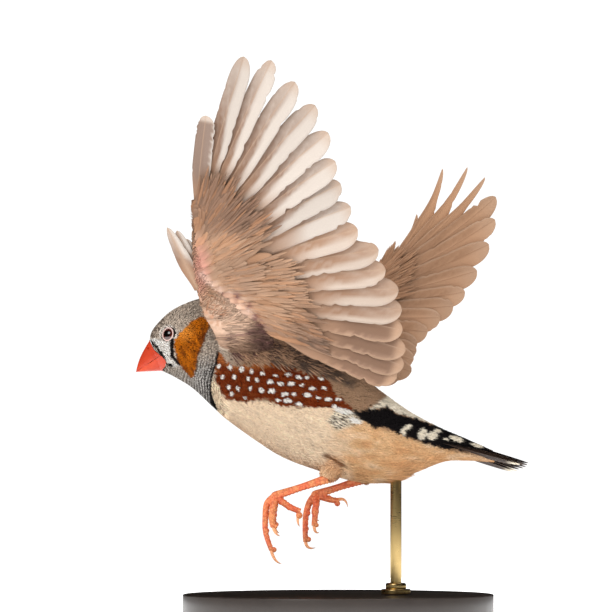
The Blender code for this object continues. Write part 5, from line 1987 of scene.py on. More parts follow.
@dataclass
class Leg:
    """One leg: a feathered thigh, a scaly shank, four toes with pads, and claws."""

    side: str
    hip: tuple
    heel: tuple
    foot: tuple
    toes: tuple
    claws: tuple
    knobs: tuple
    thigh_growth: Growth = Growth(0.75, 4.5, 0.34, 0.9)
    thigh_depth: float = 0.5
    thigh_radii: tuple = (4.6, 3.5, 1.5)
    thigh_rows: int = 60
    thigh_columns: int = 60
    tarsus_radius: float = 1.05
    toe_radius: float = 0.96
    toe_taper: float = 0.08
    claw_radius: float = 0.4
    claw_taper: tuple = (1.2, 1.16, 1.05, 0.9, 0.7, 0.45, 0.12)
    scute_gap: float = 0.95
    scute_height: float = 0.2
    scute_step: float = 0.4
    cap: float = 0.04
    groove: float = 0.3
    groove_width: float = 0.09
    shank_taper: tuple = (1.22, 0.92, 1.14)
    shank_flat: float = 0.86
    toe_flat: float = 0.92
    toe_start: float = 1.03
    pad_size: float = 0.86
    pad_drop: float = 0.34
    pad_stretch: tuple = (1.0, 0.85, 1.0)
    knob_stretch: tuple = (1.0, 0.9, 1.0)
    claw_flat: float = 0.8
    claw_root: float = 0.5
    claw_tip_length: float = 1.6
    voxel: float = 0.135

    def path_frame(self, path: Array, places: Array) -> tuple[Array, Array, Array]:
        """Points on a smooth path with their side and up directions."""
        centre = spline(path, places)
        last = len(path) - 1
        after, before = np.minimum(places + 0.05, last), np.maximum(places - 0.05, 0)
        ahead = unit(spline(path, after) - spline(path, before))
        side = unit(np.array([0.0, 1.0, 0.0]) - ahead * ahead[..., 1:2])
        return centre, side, np.cross(ahead, side)

    def tube(
        self, name: str, path: list, radii: tuple, rows: int, sides: int, flat: float, scutes: float = 0.0,
        groove: float = 0.0,
    ) -> bpy.types.Object:
        """A closed limb round a smooth path.

        Args:
            name: the object's name.
            path: the points it passes.
            radii: its radius at each of them.
            rows: faces along it.
            sides: faces round it.
            flat: below 1 squeezes it across the bird.
            scutes: how far the overlapping plates stand out.
            groove: how deep a furrow runs along both sides.

        Returns:
            The limb.
        """
        path = np.array(path, float)
        last = len(path) - 1
        length = np.linalg.norm(np.diff(path, axis=0), axis=1).sum()
        plates = max(round(length / self.scute_gap), 1)

        def place(along: Array, around: Array) -> Array:
            """Points for shares along and around."""
            cap = self.cap
            inner = np.clip((along - cap) / (1 - 2 * cap), 0, 1)
            closing = np.sqrt(np.clip(np.minimum(along, 1 - along) / cap, 0, 1))
            centre, side, up = self.path_frame(path, inner * last)
            radius = spline([(r,) for r in radii], inner * last)[..., 0]
            turn = 2 * math.pi * around
            saw = (inner * plates) % 1.0
            front = smooth(0.2 + np.sin(turn))
            radius = radius * closing * (1 + scutes * front * (saw**2 - self.scute_step))
            off_side = 1 - np.abs(np.cos(turn))
            radius = radius * (1 - groove * np.exp(-((off_side / self.groove_width) ** 2)))
            return (
                centre
                + side * (radius * flat * np.cos(turn))[..., None]
                + up * (radius * np.sin(turn))[..., None]
            )

        return Workshop.shaped(name, rows, sides, place)

    def ball(self, centre: Array, radius: float, stretch: tuple[float, float, float]) -> bpy.types.Object:
        """A pad under a joint."""
        ball = bpy.ops.mesh.primitive_ico_sphere_add
        return Workshop.primitive(
            ball, "pad", stretch, subdivisions=3, radius=radius * MM, location=Vector(centre) * MM
        )

    def build_limb(self, material: bpy.types.Material) -> bpy.types.Object:
        """Shank, pads and toes melted into one skin.

        Args:
            material: its finish.

        Returns:
            The piece made.
        """
        heel, foot = np.array(self.heel), np.array(self.foot)
        along = unit(foot - heel)
        radius = self.tarsus_radius
        start = heel - along * 0.6
        pieces = [
            self.tube(
                "shank",
                [start, heel + (foot - heel) * 0.5, foot + along * 0.2],
                tuple(radius * share for share in self.shank_taper),
                rows=170,
                sides=48,
                flat=self.shank_flat,
                scutes=self.scute_height,
                groove=self.groove,
            ),
            self.ball(foot + along * 0.4, radius * 1.1, (1, 1, 1)),
        ]
        for joints, (bend, _), knob in zip(self.toes, self.claws, self.knobs):
            path = [foot + along * 0.4] + [np.array(joint) for joint in joints]
            radii = tuple(self.toe_radius * (self.toe_start - self.toe_taper * k) for k in range(len(path)))
            pieces.append(self.tube("toe", path, radii, 130, 24, self.toe_flat, self.scute_height))
            under = unit(np.array(bend) - path[-1] - unit(path[-1] - path[-2]) * 0.4)
            for k, joint in enumerate(path[1:-1]):
                inwards = unit(joint - path[k])
                below = under - inwards * (under @ inwards)
                size = self.toe_radius * (self.pad_size - self.toe_taper * k)
                spot = joint - inwards * size * 0.9 + unit(below) * self.toe_radius * self.pad_drop
                pieces.append(self.ball(spot, size, self.pad_stretch))
            pieces.append(self.ball(np.array(knob[:3]), knob[3], self.knob_stretch))
        limb = Workshop.join(f"leg_{self.side}_skin", pieces)
        Workshop.apply(limb, "REMESH", mode="VOXEL", voxel_size=self.voxel * MM, use_smooth_shade=True)
        Workshop.apply(limb, "SMOOTH", factor=0.4, iterations=2)
        Workshop.finish(limb, material, 80.0)
        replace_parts(limb, f"leg_{self.side}")
        return limb

    def build_claws(self, material: bpy.types.Material) -> bpy.types.Object:
        """Four curved claws.

        Args:
            material: their finish.

        Returns:
            The piece made.
        """
        made = []
        for joints, (bend, point) in zip(self.toes, self.claws):
            end, before, point = np.array(joints[-1]), np.array(joints[-2]), np.array(point)
            start = end - unit(end - before) * self.claw_root
            pull = 2 * np.array(bend) - (start + point) / 2
            shares = np.linspace(0, 1, len(self.claw_taper))
            path = [start * (1 - t) ** 2 + pull * (2 * t * (1 - t)) + point * t**2 for t in shares]
            radii = tuple(self.claw_radius * np.array(self.claw_taper))
            made.append(self.tube("claw", path, radii, 40, 14, self.claw_flat))
            gap = np.linalg.norm(Workshop.points(made[-1]) / MM - point, axis=1)
            Workshop.tint(made[-1].data, mix(Tone.CLAW_TIP, Tone.CLAW, smooth(gap / self.claw_tip_length)))
        claws = Workshop.join(f"claws_{self.side}", made)
        Workshop.finish(claws, material, 60.0)
        return claws

    def thigh_table(self) -> Array:
        """The feathered thigh's surface."""
        path = np.array([self.hip, (np.array(self.hip) + np.array(self.heel)) / 2, self.heel], float)
        places = np.linspace(0, 2, self.thigh_rows + 1)
        centre, side, up = self.path_frame(path, places)
        radius = spline([(r,) for r in self.thigh_radii], places)
        return ellipses(centre, side * radius, up * radius, self.thigh_columns)

    def build_thigh(self, coat: Coat, markings: Markings) -> Parts:
        """Soft tufts flowing down from the belly over the thigh."""
        surface = Surface(self.thigh_table())
        rows, columns = coat.roots(surface, np.array([2.0, 58.0]), np.array([0.9, 0.6]))
        growth = self.thigh_growth.rows(len(rows))
        growth[:, 1] *= 1 - 0.6 * smooth((rows - 24.0) / 30.0)
        growth[:, 3] *= 0.35 + 0.65 * smooth(1 - np.abs(rows - 30.0) / 24.0)
        turns = coat.chance.normal(0, 0.2, len(rows))
        zone = 0.02 if self.side == "left" else 0.52

        def paint(at_rows: Array, at_columns: Array) -> Array:
            """The belly's colour, warmer towards the heel and on the rear face."""
            points = surface.read(surface.points, at_rows, at_columns)
            x, z = points[..., 0], points[..., 2]
            low = smooth((41.0 - z) / 4.5)
            rear = smooth((x - self.heel[0] + 0.2) / 2.5)
            warm = mix(Tone.THIGH, Tone.RUST, 0.3 * rear)
            colour = mix(markings.colour(x, z), warm, 0.8 * low)
            return mix(colour, Tone.LEG, 0.6 * smooth((37.4 - z) / 2.0))

        def unwrap(at_rows: Array, at_columns: Array) -> Array:
            """Places on a strip of the bake map."""
            around = (at_columns % self.thigh_columns) / self.thigh_columns
            return np.stack([zone + 0.44 * at_rows / self.thigh_rows, 0.34 + 0.1 * around], -1)

        return coat.grow(surface, rows, columns, growth, turns, paint, unwrap, self.thigh_depth)


LEFT_LEG = Leg(
    side="left",
    hip=(1.6, -6.2, 44.6),
    heel=(-3.4, -10.0, 36.2),
    foot=(-16.6, -10.5, 31.9),
    toes=(
        ((-19.1, -10.7, 29.7), (-19.6, -10.9, 26.0), (-19.5, -11.0, 21.8), (-18.0, -11.0, 17.2)),
        ((-17.6, -12.2, 28.6), (-17.9, -13.1, 25.6), (-17.5, -13.4, 23.4)),
        ((-17.2, -8.8, 28.7), (-17.5, -7.7, 26.0), (-17.3, -7.2, 23.9)),
        ((-14.7, -10.3, 29.9), (-12.5, -10.2, 28.5), (-10.2, -10.1, 27.6)),
    ),
    claws=(
        ((-17.1, -11.0, 14.8), (-15.3, -10.9, 13.5)),
        ((-16.9, -13.4, 22.0), (-15.7, -13.3, 21.0)),
        ((-16.9, -7.1, 22.6), (-15.9, -7.1, 21.7)),
        ((-10.9, -10.1, 25.1), (-10.4, -10.1, 23.5)),
    ),
    knobs=(
        (-17.3, -11.0, 17.3, 0.74),
        (-16.9, -13.4, 23.6, 0.6),
        (-16.6, -7.2, 24.0, 0.6),
        (-10.5, -10.1, 26.5, 0.92),
    ),
)
RIGHT_LEG = Leg(
    side="right",
    hip=(10.0, 0.5, 42.0),
    heel=(6.4, 3.0, 35.8),
    foot=(-5.8, 3.5, 31.9),
    toes=(
        ((-7.8, 3.4, 29.5), (-8.7, 3.2, 26.2), (-8.9, 3.1, 22.0), (-8.8, 3.1, 19.0)),
        ((-6.0, 2.0, 29.4), (-6.2, 1.2, 26.6), (-6.5, 0.9, 23.4)),
        ((-5.8, 5.0, 29.6), (-6.3, 6.0, 27.8), (-6.5, 6.4, 26.4)),
        ((-3.9, 3.6, 31.0), (-1.9, 3.7, 30.4), (0.0, 3.8, 30.2)),
    ),
    claws=(
        ((-8.1, 3.0, 17.6), (-6.1, 3.0, 17.5)),
        ((-6.2, 0.9, 22.0), (-5.1, 0.9, 21.6)),
        ((-6.1, 6.4, 25.2), (-5.1, 6.4, 24.8)),
        ((1.6, 3.8, 30.4), (2.6, 3.8, 28.4)),
    ),
    knobs=(
        (-8.0, 3.1, 19.7, 0.74),
        (-5.8, 0.9, 23.6, 0.6),
        (-5.9, 6.4, 26.5, 0.6),
        (-0.2, 3.8, 29.4, 0.8),
    ),
)


@dataclass
class Bill:
    """The conical bill, parted along the mouth, with its nostrils."""

    trunk: Trunk
    base_top: tuple = (-51.0, 73.4)
    base_bottom: tuple = (-47.6, 65.3)
    half_width: float = 3.5
    tip: tuple = (-54.6, 0.0, 65.0)
    gape: tuple = (-48.2, 0.0, 69.3)
    gap: float = 0.07
    # How fast the sections run towards the tip, and how fast they narrow on the way
    ridge_power: float = 1.15
    width_power: float = 0.86
    narrower_below: float = 0.95
    bulge: float = 0.72
    corner_share: float = 0.2
    corner_reach: float = 1.5
    edge_reach: float = 0.25
    corner_angle: float = 1.95
    corner_spread: float = 0.5
    corner_height: float = 0.14
    wall_from: float = 0.6
    nostril: tuple = (-51.2, 71.4)
    nostril_radius: float = 0.36
    nostril_squeeze: float = 1.5
    nostril_depth: float = 0.28
    nostril_edge: float = 1.3
    rows: int = 80
    sides: int = 64

    def place(self, along: Array, around: Array) -> Array:
        """Points of the closed bill for shares along and around."""
        cap = self.corner_share
        share = np.clip((along - cap) / (1 - cap), 0, 1)
        share = 1 - (1 - share) ** self.ridge_power
        top = np.array([self.base_top[0], 0.0, self.base_top[1]])
        bottom = np.array([self.base_bottom[0], 0.0, self.base_bottom[1]])
        up = unit(top - bottom)
        ahead = np.cross([0.0, 1.0, 0.0], up)
        ahead = -ahead if ahead[0] > 0 else ahead
        tip = np.array(self.tip)
        s = share[:, None]
        culmen = top * (1 - s) + tip * s + ahead * (self.bulge * np.sin(math.pi * s))
        gonys = bottom * (1 - s) + tip * s
        centre, half = (culmen + gonys) / 2, (culmen - gonys) / 2
        wide = self.half_width * (1 - share) ** self.width_power
        turn = 2 * math.pi * around
        ring = centre + half * np.cos(turn)[:, None]
        ring = ring + np.stack([0 * wide, wide * np.sin(turn), 0 * wide], -1)
        return np.where((along < cap)[:, None], self.corner(np.clip(1 - along / cap, 0, 1), turn), ring)

    def reach(self, turn: Array) -> Array:
        """How far the horn runs back over the cheeks, most at the corners of the gape."""
        gape = np.abs(np.abs((turn + math.pi) % (2 * math.pi) - math.pi) - self.corner_angle)
        return self.corner_reach * np.exp(-((gape / self.corner_spread) ** 2)) + self.edge_reach

    def corner(self, depth: Array, turn: Array) -> Array:
        """The horn's rear edge, drawn back over the cheeks, and the wall inside it.

        Args:
            depth: 0 at the bill's base, wall_from at the rear edge and 1 at the middle of the wall inside.
            turn: the angle round the bill, 0 at the top.

        Returns:
            Points in millimetres.
        """
        surface = self.trunk.surface
        columns = turn / (2 * math.pi) * surface.columns
        out = np.minimum(depth / self.wall_from, 1)
        reach = self.reach(turn)
        pace, _ = surface.paces(0 * columns + 2.0, columns)
        points, normals = surface.at(out * reach / pace, columns)
        rise = self.corner_height * np.sin(math.pi * np.minimum(out + 0.12, 1))
        points = points + normals * rise[:, None]
        inside = np.clip((depth - self.wall_from) / (1 - self.wall_from), 0, 1)[:, None]
        middle = surface.points[4].mean(axis=0)
        return points * (1 - inside) + middle * inside

    def build(self, side: int, material: bpy.types.Material) -> bpy.types.Object:
        """One half of the bill.

        Args:
            side: 1 for the upper half and -1 for the lower one.
            material: its finish.

        Returns:
            The piece made.
        """
        name = "bill_upper" if side > 0 else "bill_lower"
        obj = Workshop.shaped(name + "_horn", self.rows, self.sides, self.place)
        line = unit(np.array(self.gape) - np.array(self.tip))
        up = np.cross([0.0, 1.0, 0.0], line)
        up = up if up[2] > 0 else -up
        on_plane = (np.array(self.gape) + up * side * self.gap / 2) * MM
        Workshop.pick(obj)
        bpy.ops.object.mode_set(mode="EDIT")
        bpy.ops.mesh.select_all(action="SELECT")
        bpy.ops.mesh.bisect(
            plane_co=tuple(on_plane), plane_no=tuple(up * side), use_fill=True, clear_inner=True
        )
        bpy.ops.object.mode_set(mode="OBJECT")
        if side > 0:
            self.bore(obj)
        else:
            obj.scale = (1, self.narrower_below, 1)
            bpy.ops.object.transform_apply(location=True, rotation=True, scale=True)
        Workshop.mend(obj, 1e-7)
        Workshop.finish(obj, material, 40.0)
        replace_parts(obj, name)
        return obj

    def bore(self, bill: bpy.types.Object) -> None:
        """Sinks the two nostrils."""
        places = Workshop.points(bill) / MM
        x, z = self.nostril
        gap = np.hypot((places[:, 0] - x) * self.nostril_squeeze, places[:, 2] - z)
        hollow = smooth(self.nostril_edge - gap / self.nostril_radius / self.nostril_edge)
        places[:, 1] *= 1 - self.nostril_depth * hollow
        bill.data.vertices.foreach_set("co", (places * MM).ravel())


@dataclass
class Eyes:
    """Both eyes with their beaded rims."""

    trunk: Trunk
    x: float = -45.8
    z: float = 75.2
    radius: float = 2.3
    bulge: float = 0.55
    rim_across: float = 1.55
    rim_up: float = 1.72
    rim_radius: float = 0.17
    rim_height: float = 0.12
    cheek_curve: float = 0.06
    beads: int = 34
    bead_depth: float = 0.16

    def build(self, side: int, eye: bpy.types.Material, lid: bpy.types.Material) -> list[bpy.types.Object]:
        """One eye.

        Args:
            side: -1 for the left one and 1 for the right one.
            eye: the ball's finish.
            lid: the rim's finish.

        Returns:
            The pieces made.
        """
        name = "eye_left" if side < 0 else "eye_right"
        skin, normal = self.trunk.nearest(self.x, self.z, side)
        centre = skin + normal * (self.bulge - self.radius)
        ball = Workshop.primitive(
            bpy.ops.mesh.primitive_uv_sphere_add,
            name + "_ball",
            segments=56,
            ring_count=40,
            radius=self.radius * MM,
            location=centre * MM,
            rotation=normal.to_track_quat("Z", "Y").to_euler(),
        )
        Workshop.finish(ball, eye, 80.0)
        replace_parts(ball, name)
        across = np.array(normal.cross(Vector((0, 0, 1))).normalized())
        up = np.cross(np.array(normal), across)
        out = np.array(normal)

        def place(around: Array, section: Array) -> Array:
            """Points of the rim for shares round the eye and round its section."""
            turn, angle = 2 * math.pi * around, 2 * math.pi * section
            beads = 1 + self.bead_depth * np.sin(turn * self.beads)
            ring = across * np.cos(turn)[:, None], up * np.sin(turn)[:, None]
            reach = self.rim_radius * beads * np.cos(angle)
            flat = ring[0] * (self.rim_across + reach)[:, None] + ring[1] * (self.rim_up + reach)[:, None]
            sag = self.rim_across**2 * self.cheek_curve
            height = self.rim_radius * beads * np.sin(angle) - sag + self.rim_height
            return np.array(skin) + flat + out * height[:, None]

        rim = Workshop.shaped(name + "_lid", 180, 14, place)
        Workshop.finish(rim, lid, 80.0)
        return [ball, rim]


@dataclass
class Stand:
    """A turned wooden base with a brass rod."""

    base_radius: float = 42.0
    base_height: float = 5.0
    rim_inset: float = 3.2
    groove: float = 0.9
    groove_depth: float = 0.5
    middle_inset: float = 6.0
    rim_softness: float = 0.55
    rod_radius: float = 1.5
    rod_x: float = 15.5
    rod_y: float = -8.0
    collar_radius: float = 4.0
    collar_height: float = 3.0
    gap: float = 0.3

    def build_base(self, material: bpy.types.Material) -> bpy.types.Object:
        """The base, with a groove round its top and a softened rim."""
        obj = Workshop.primitive(
            bpy.ops.mesh.primitive_cylinder_add,
            "stand_base_turned",
            vertices=160,
            radius=self.base_radius * MM,
            depth=self.base_height * MM,
            location=(0, 0, self.base_height * MM / 2),
        )
        bpy.ops.object.mode_set(mode="EDIT")
        bpy.ops.mesh.select_mode(type="FACE")
        bpy.ops.mesh.select_all(action="DESELECT")
        bpy.ops.object.mode_set(mode="OBJECT")
        for face in obj.data.polygons:
            face.select = face.normal.z > 0.9
        bpy.ops.object.mode_set(mode="EDIT")
        half, deep = self.groove / 2, self.groove_depth
        for inset, drop in ((self.rim_inset, 0.0), (half, -deep), (half, deep), (self.middle_inset, 0.0)):
            bpy.ops.mesh.inset(thickness=inset * MM)
            bpy.ops.transform.translate(value=(0, 0, drop * MM))
        bpy.ops.object.mode_set(mode="OBJECT")
        edge = {"limit_method": "ANGLE", "angle_limit": math.radians(25)}
        Workshop.apply(obj, "BEVEL", width=self.rim_softness * MM, segments=3, **edge)
        Workshop.finish(obj, material, 35.0)
        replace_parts(obj, "stand_base")
        return obj

    def build_rod(self, material: bpy.types.Material) -> bpy.types.Object:
        """The collar and the rod that reaches into the plumage of the belly."""
        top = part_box("stand_rod")[1].z / MM
        foot = self.base_height + self.gap
        pieces = []
        # Radius, lower and upper end and softened edge of the collar's two steps and of the rod
        for radius, low, high, soft in (
            (self.collar_radius, foot, foot + self.collar_height * 0.45, 0.3),
            (self.collar_radius * 0.7, foot + self.collar_height * 0.4, foot + self.collar_height, 0.5),
            (self.rod_radius, foot + 1.0, top, 0.15),
        ):
            piece = Workshop.primitive(
                bpy.ops.mesh.primitive_cylinder_add,
                "turning",
                vertices=64,
                radius=radius * MM,
                depth=(high - low) * MM,
                location=(self.rod_x * MM, self.rod_y * MM, (low + high) / 2 * MM),
            )
            Workshop.apply(piece, "BEVEL", width=soft * MM, segments=3, limit_method="ANGLE")
            pieces.append(piece)
        obj = Workshop.join("stand_rod_turned", pieces)
        Workshop.finish(obj, material, 40.0)
        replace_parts(obj, "stand_rod")
        return obj


@dataclass
class Body:
    """Skin and coat of head, neck, trunk and the root of the tail."""

    trunk: Trunk
    markings: Markings
    wings: tuple[Wing, ...]
    legs: tuple[Leg, ...]
    bill: Bill
    voxel: float = 0.62
    flesh_depth: float = 0.35
    # The coat from the bill to the tail, station by station
    growths: tuple = (
        Growth(0.36, 1.3, 0.18, 0.03),
        Growth(0.42, 1.7, 0.21, 0.05),
        Growth(0.55, 2.1, 0.25, 0.07),
        Growth(0.66, 2.4, 0.29, 0.1),
        Growth(0.68, 2.4, 0.3, 0.12),
        Growth(0.72, 2.8, 0.32, 0.14),
        Growth(0.78, 3.2, 0.36, 0.16),
        Growth(0.84, 3.6, 0.4, 0.18),
        Growth(0.84, 3.9, 0.42, 0.2),
        Growth(0.84, 4.1, 0.42, 0.25),
        Growth(0.84, 4.2, 0.42, 0.25),
        Growth(0.84, 4.2, 0.4, 0.2),
        Growth(0.75, 3.8, 0.34, 0.15),
        Growth(0.7, 3.2, 0.32, 0.12),
    )
    sections: tuple = (0.0, 2.2, 3.6, 5.2, 6.8, 8.6, 13.0)
    # Shares of colour from root to tip on the face and on the head: the darker roots are partly painted shade
    # between the layers and partly the feathers' own dark bases
    face_shades: tuple = (0.84, 0.93, 1.03, 1.1)
    head_shades: tuple = (0.62, 0.82, 1.02, 1.12)
    fluff: Growth = Growth(0.8, 5.0, 0.32, 1.2)
    fluff_places: tuple = (4.0, 7.3)
    # The lower border of the fluff as (x, z) on the left side
    fluff_line: tuple = (
        (-31.0, 71.8), (-25.0, 69.9), (-18.0, 69.2), (-10.0, 67.6), (-2.0, 65.0), (2.0, 62.8),
    )
    fluff_height: float = 7.0
    # Room left free of fluff below the spine: on average, its change from side to side and its raggedness
    fluff_room: float = 3.4
    fluff_hand: float = 2.0
    fluff_ragged: float = 1.2
    # The vent's loose tufts: middle (x, z) and half sizes
    vent: tuple = (10.4, 35.6, 2.8, 2.0)
    eye_room: float = 1.95

    def shell(self, name: str, table: Array) -> bpy.types.Object:
        """A closed body through a table of points."""
        rows, columns = table.shape[:2]

        def place(along: Array, around: Array) -> Array:
            """Points of the body, closed at both ends."""
            cap = 1.5 / rows
            row = np.clip((along - cap) / (1 - 2 * cap), 0, 1) * (rows - 1)
            closing = np.clip(np.minimum(along, 1 - along) / cap, 0, 1)[:, None]
            low = np.minimum(row.astype(int), rows - 2)
            column = np.round(around * columns).astype(int) % columns
            share = (row - low)[:, None]
            ring = table[low, column] * (1 - share) + table[low + 1, column] * share
            middle = table[low].mean(axis=1)
            return middle + (ring - middle) * closing

        return Workshop.shaped(name, rows // 4, columns, place)

    def build_skin(self, material: bpy.types.Material) -> bpy.types.Object:
        """One skin over trunk, wings' flesh and thighs.

        Args:
            material: its finish.

        Returns:
            The piece made.
        """
        pieces = [self.shell("skin_trunk", self.trunk.surface.sunk(self.trunk.skin_depth))]
        for wing in self.wings:
            pieces.append(self.shell("skin_wing", wing.surface.sunk(self.flesh_depth)))
        for leg in self.legs:
            pieces.append(self.shell("skin_thigh", Surface(leg.thigh_table()).sunk(self.flesh_depth)))
        skin = Workshop.join("skin", pieces)
        Workshop.apply(skin, "REMESH", mode="VOXEL", voxel_size=self.voxel * MM, use_smooth_shade=True)
        Workshop.apply(skin, "SMOOTH", factor=0.5, iterations=4)
        Workshop.finish(skin, material, 80.0)
        Workshop.tint(skin.data, self.skin_colours(skin))
        flesh = ["head", "neck", "torso", "tail", "wing_left", "wing_right", "thigh_left", "thigh_right"]
        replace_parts(skin, *flesh)
        return skin

    def skin_colours(self, skin: bpy.types.Object) -> Array:
        """The coat's colour over each point of the skin."""
        places = Workshop.points(skin) / MM
        sources = [(self.trunk.surface, self.paint)]
        sources += [(wing.surface, wing.lining_paint) for wing in self.wings]
        samples, colours = [], []
        for surface, paint in sources:
            rows, columns = np.meshgrid(
                np.arange(0, surface.rows, 4.0), np.arange(0, surface.columns, 3.0), indexing="ij"
            )
            samples.append(surface.at(rows, columns)[0].reshape(-1, 3))
            colours.append(paint(rows, columns).reshape(-1, 3))
        samples, colours = np.concatenate(samples), np.concatenate(colours)
        tree = KDTree(len(samples))
        for index, sample in enumerate(samples):
            tree.insert(sample, index)
        tree.balance()
        return colours[[tree.find(point)[1] for point in places]]

    def paint(self, rows: Array, columns: Array) -> Array:
        """The markings at rows and columns of the trunk."""
        return self.markings.colour(*self.trunk.left_view(rows, columns))

    def unwrap(self, rows: Array, columns: Array) -> Array:
        """Places on the upper part of the bake map."""
        surface = self.trunk.surface
        along = 0.01 + 0.98 * rows / surface.rows
        return np.stack([along, 0.46 + 0.53 * (columns % surface.columns) / surface.columns], -1)

    def build_coat(self, coat: Coat, material: bpy.types.Material) -> list[bpy.types.Object]:
        """The coat in sections from bill to tail.

        Args:
            coat: grows the tufts.
            material: their finish.

        Returns:
            The pieces made.
        """
        trunk = self.trunk
        surface = trunk.surface
        table = np.array([astuple(growth) for growth in self.growths])
        stations = np.arange(len(table)) * float(trunk.rows_per_station)
        made = []
        growers = [
            Coat(seed=coat.seed + 20 + number, shades=shades, unevenness=uneven, smear=0.08)
            for number, (shades, uneven) in enumerate(((self.face_shades, 0.11), (self.head_shades, 0.17)))
        ]
        for number, (first, last) in enumerate(zip(self.sections[:-1], self.sections[1:])):
            grower = growers[number] if number < 2 else coat
            within = np.linspace(trunk.row(first), trunk.row(last) - 1e-3, 12)
            gaps = np.interp(within, stations, table[:, 0])
            rows, columns = grower.roots(surface, within, gaps)
            rows = np.clip(rows, 1.0, surface.rows - 3.0)
            growth = np.stack([np.interp(rows, stations, table[:, k]) for k in range(4)], 1)
            x, z = trunk.left_view(rows, columns)
            silky = self.markings.silky(x, z)
            growth[:, 1] *= 0.62 + 0.8 * silky
            growth[:, 2] *= 1 + 0.2 * silky
            growth[:, 3] *= 1 - 0.3 * silky
            mid_x, mid_z, half_x, half_z = self.vent
            vent = smooth(1.4 - np.hypot((x - mid_x) / half_x, (z - mid_z) / half_z))
            growth[:, 1] *= 1 + 0.4 * vent
            growth[:, 3] += 0.9 * vent
            growth, kept = self.clear_of_eyes(surface, rows, columns, growth)
            kept &= self.clear_of_bill(surface, rows, columns)
            turns = grower.chance.normal(0, 0.07, len(rows))
            rows, columns, growth, turns = rows[kept], columns[kept], growth[kept], turns[kept]
            parts = grower.grow(
                surface, rows, columns, growth, turns, self.paint, self.unwrap, trunk.skin_depth
            )
            obj = Workshop.from_parts(f"coat_{number}", parts, material)
            made.append((obj, "buff_plumage" if number > 2 else "grey_plumage")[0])
            log.info("coat_%d: %d triangles", number, len(parts.faces))
        return made

    def build_fluff(self, coat: Coat) -> Parts:
        """Long loose tufts on the side under each wing, higher on the side that the camera sees."""
        surface = self.trunk.surface
        within = np.array([self.trunk.row(place) for place in self.fluff_places])
        rows, columns = coat.roots(surface, within, np.full(2, self.fluff.gap))
        x, z = self.trunk.left_view(rows, columns)
        above = z - height_at(self.fluff_line, x)
        kept = (above > 0) & (above < self.fluff_height * coat.chance.uniform(0.5, 1.0, len(rows)))
        hand = np.where(columns % surface.columns < surface.columns / 2, 1.0, -1.0)
        ragged = self.fluff_ragged * self.markings.fine.at(x * 0.9, z * 1.7)
        kept &= self.trunk.spine(x) - z > self.fluff_room + self.fluff_hand * hand + ragged
        rows, columns, hand = rows[kept], columns[kept], hand[kept]
        growth = self.fluff.rows(len(rows))
        growth[:, 1] *= coat.chance.uniform(0.5, 1.25, len(rows))
        turns = hand * 0.1 + coat.chance.normal(0, 0.35, len(rows))
        shade = np.repeat(coat.chance.uniform(0, 1, len(rows)), coat.blades)

        def paint(at_rows: Array, at_columns: Array) -> Array:
            """Tan and grey-brown tufts, mixed, some darkened with painted shade, more towards the rear, and
            some plum near the arm.
            """
            spot_x, _ = self.trunk.left_view(at_rows, at_columns)
            rear = smooth((spot_x + 22.0) / 10.0)
            mark = shade[:, None] + 0 * at_rows
            colour = mix(Tone.LINING, Tone.BAND, smooth(mark * 1.4))
            # Painted shade on some tufts, more of them towards the rear
            colour = mix(colour, Tone.SHADE, 0.8 * smooth((mark - 0.6 + 0.35 * rear) / 0.3))
            return mix(colour, Tone.PLUM, 0.5 * smooth((mark - 0.8) / 0.1) * (1 - rear))

        return coat.grow(surface, rows, columns, growth, turns, paint, self.unwrap, self.trunk.skin_depth)

    def clear_of_bill(self, surface: Surface, rows: Array, columns: Array) -> Array:
        """Which tufts root behind the horn's rear edge."""
        row_pace, _ = surface.paces(0 * rows + 2.0, columns)
        return rows * row_pace > self.bill.reach(2 * math.pi * columns / surface.columns) - 0.3

    def clear_of_eyes(
        self, surface: Surface, rows: Array, columns: Array, growth: Array
    ) -> tuple[Array, Array]:
        """Shortens tufts that would reach over an eye and drops those that root on it."""
        kept = np.ones(len(rows), bool)
        growth = growth.copy()
        row_pace, _ = surface.paces(rows, columns)
        for side in (-1, 1):
            skin, _ = self.trunk.nearest(Eyes.x, Eyes.z, side)
            skin = np.array(skin)
            for share in (0.0, 0.5, 1.0):
                ahead = rows + growth[:, 1] * share / row_pace
                gap = np.linalg.norm(surface.at(ahead, columns)[0] - skin, axis=1)
                if share == 0.0:
                    kept &= gap > self.eye_room
                else:
                    growth[:, 1] = np.where(gap < self.eye_room, growth[:, 1] * 0.5, growth[:, 1])
        return growth, kept


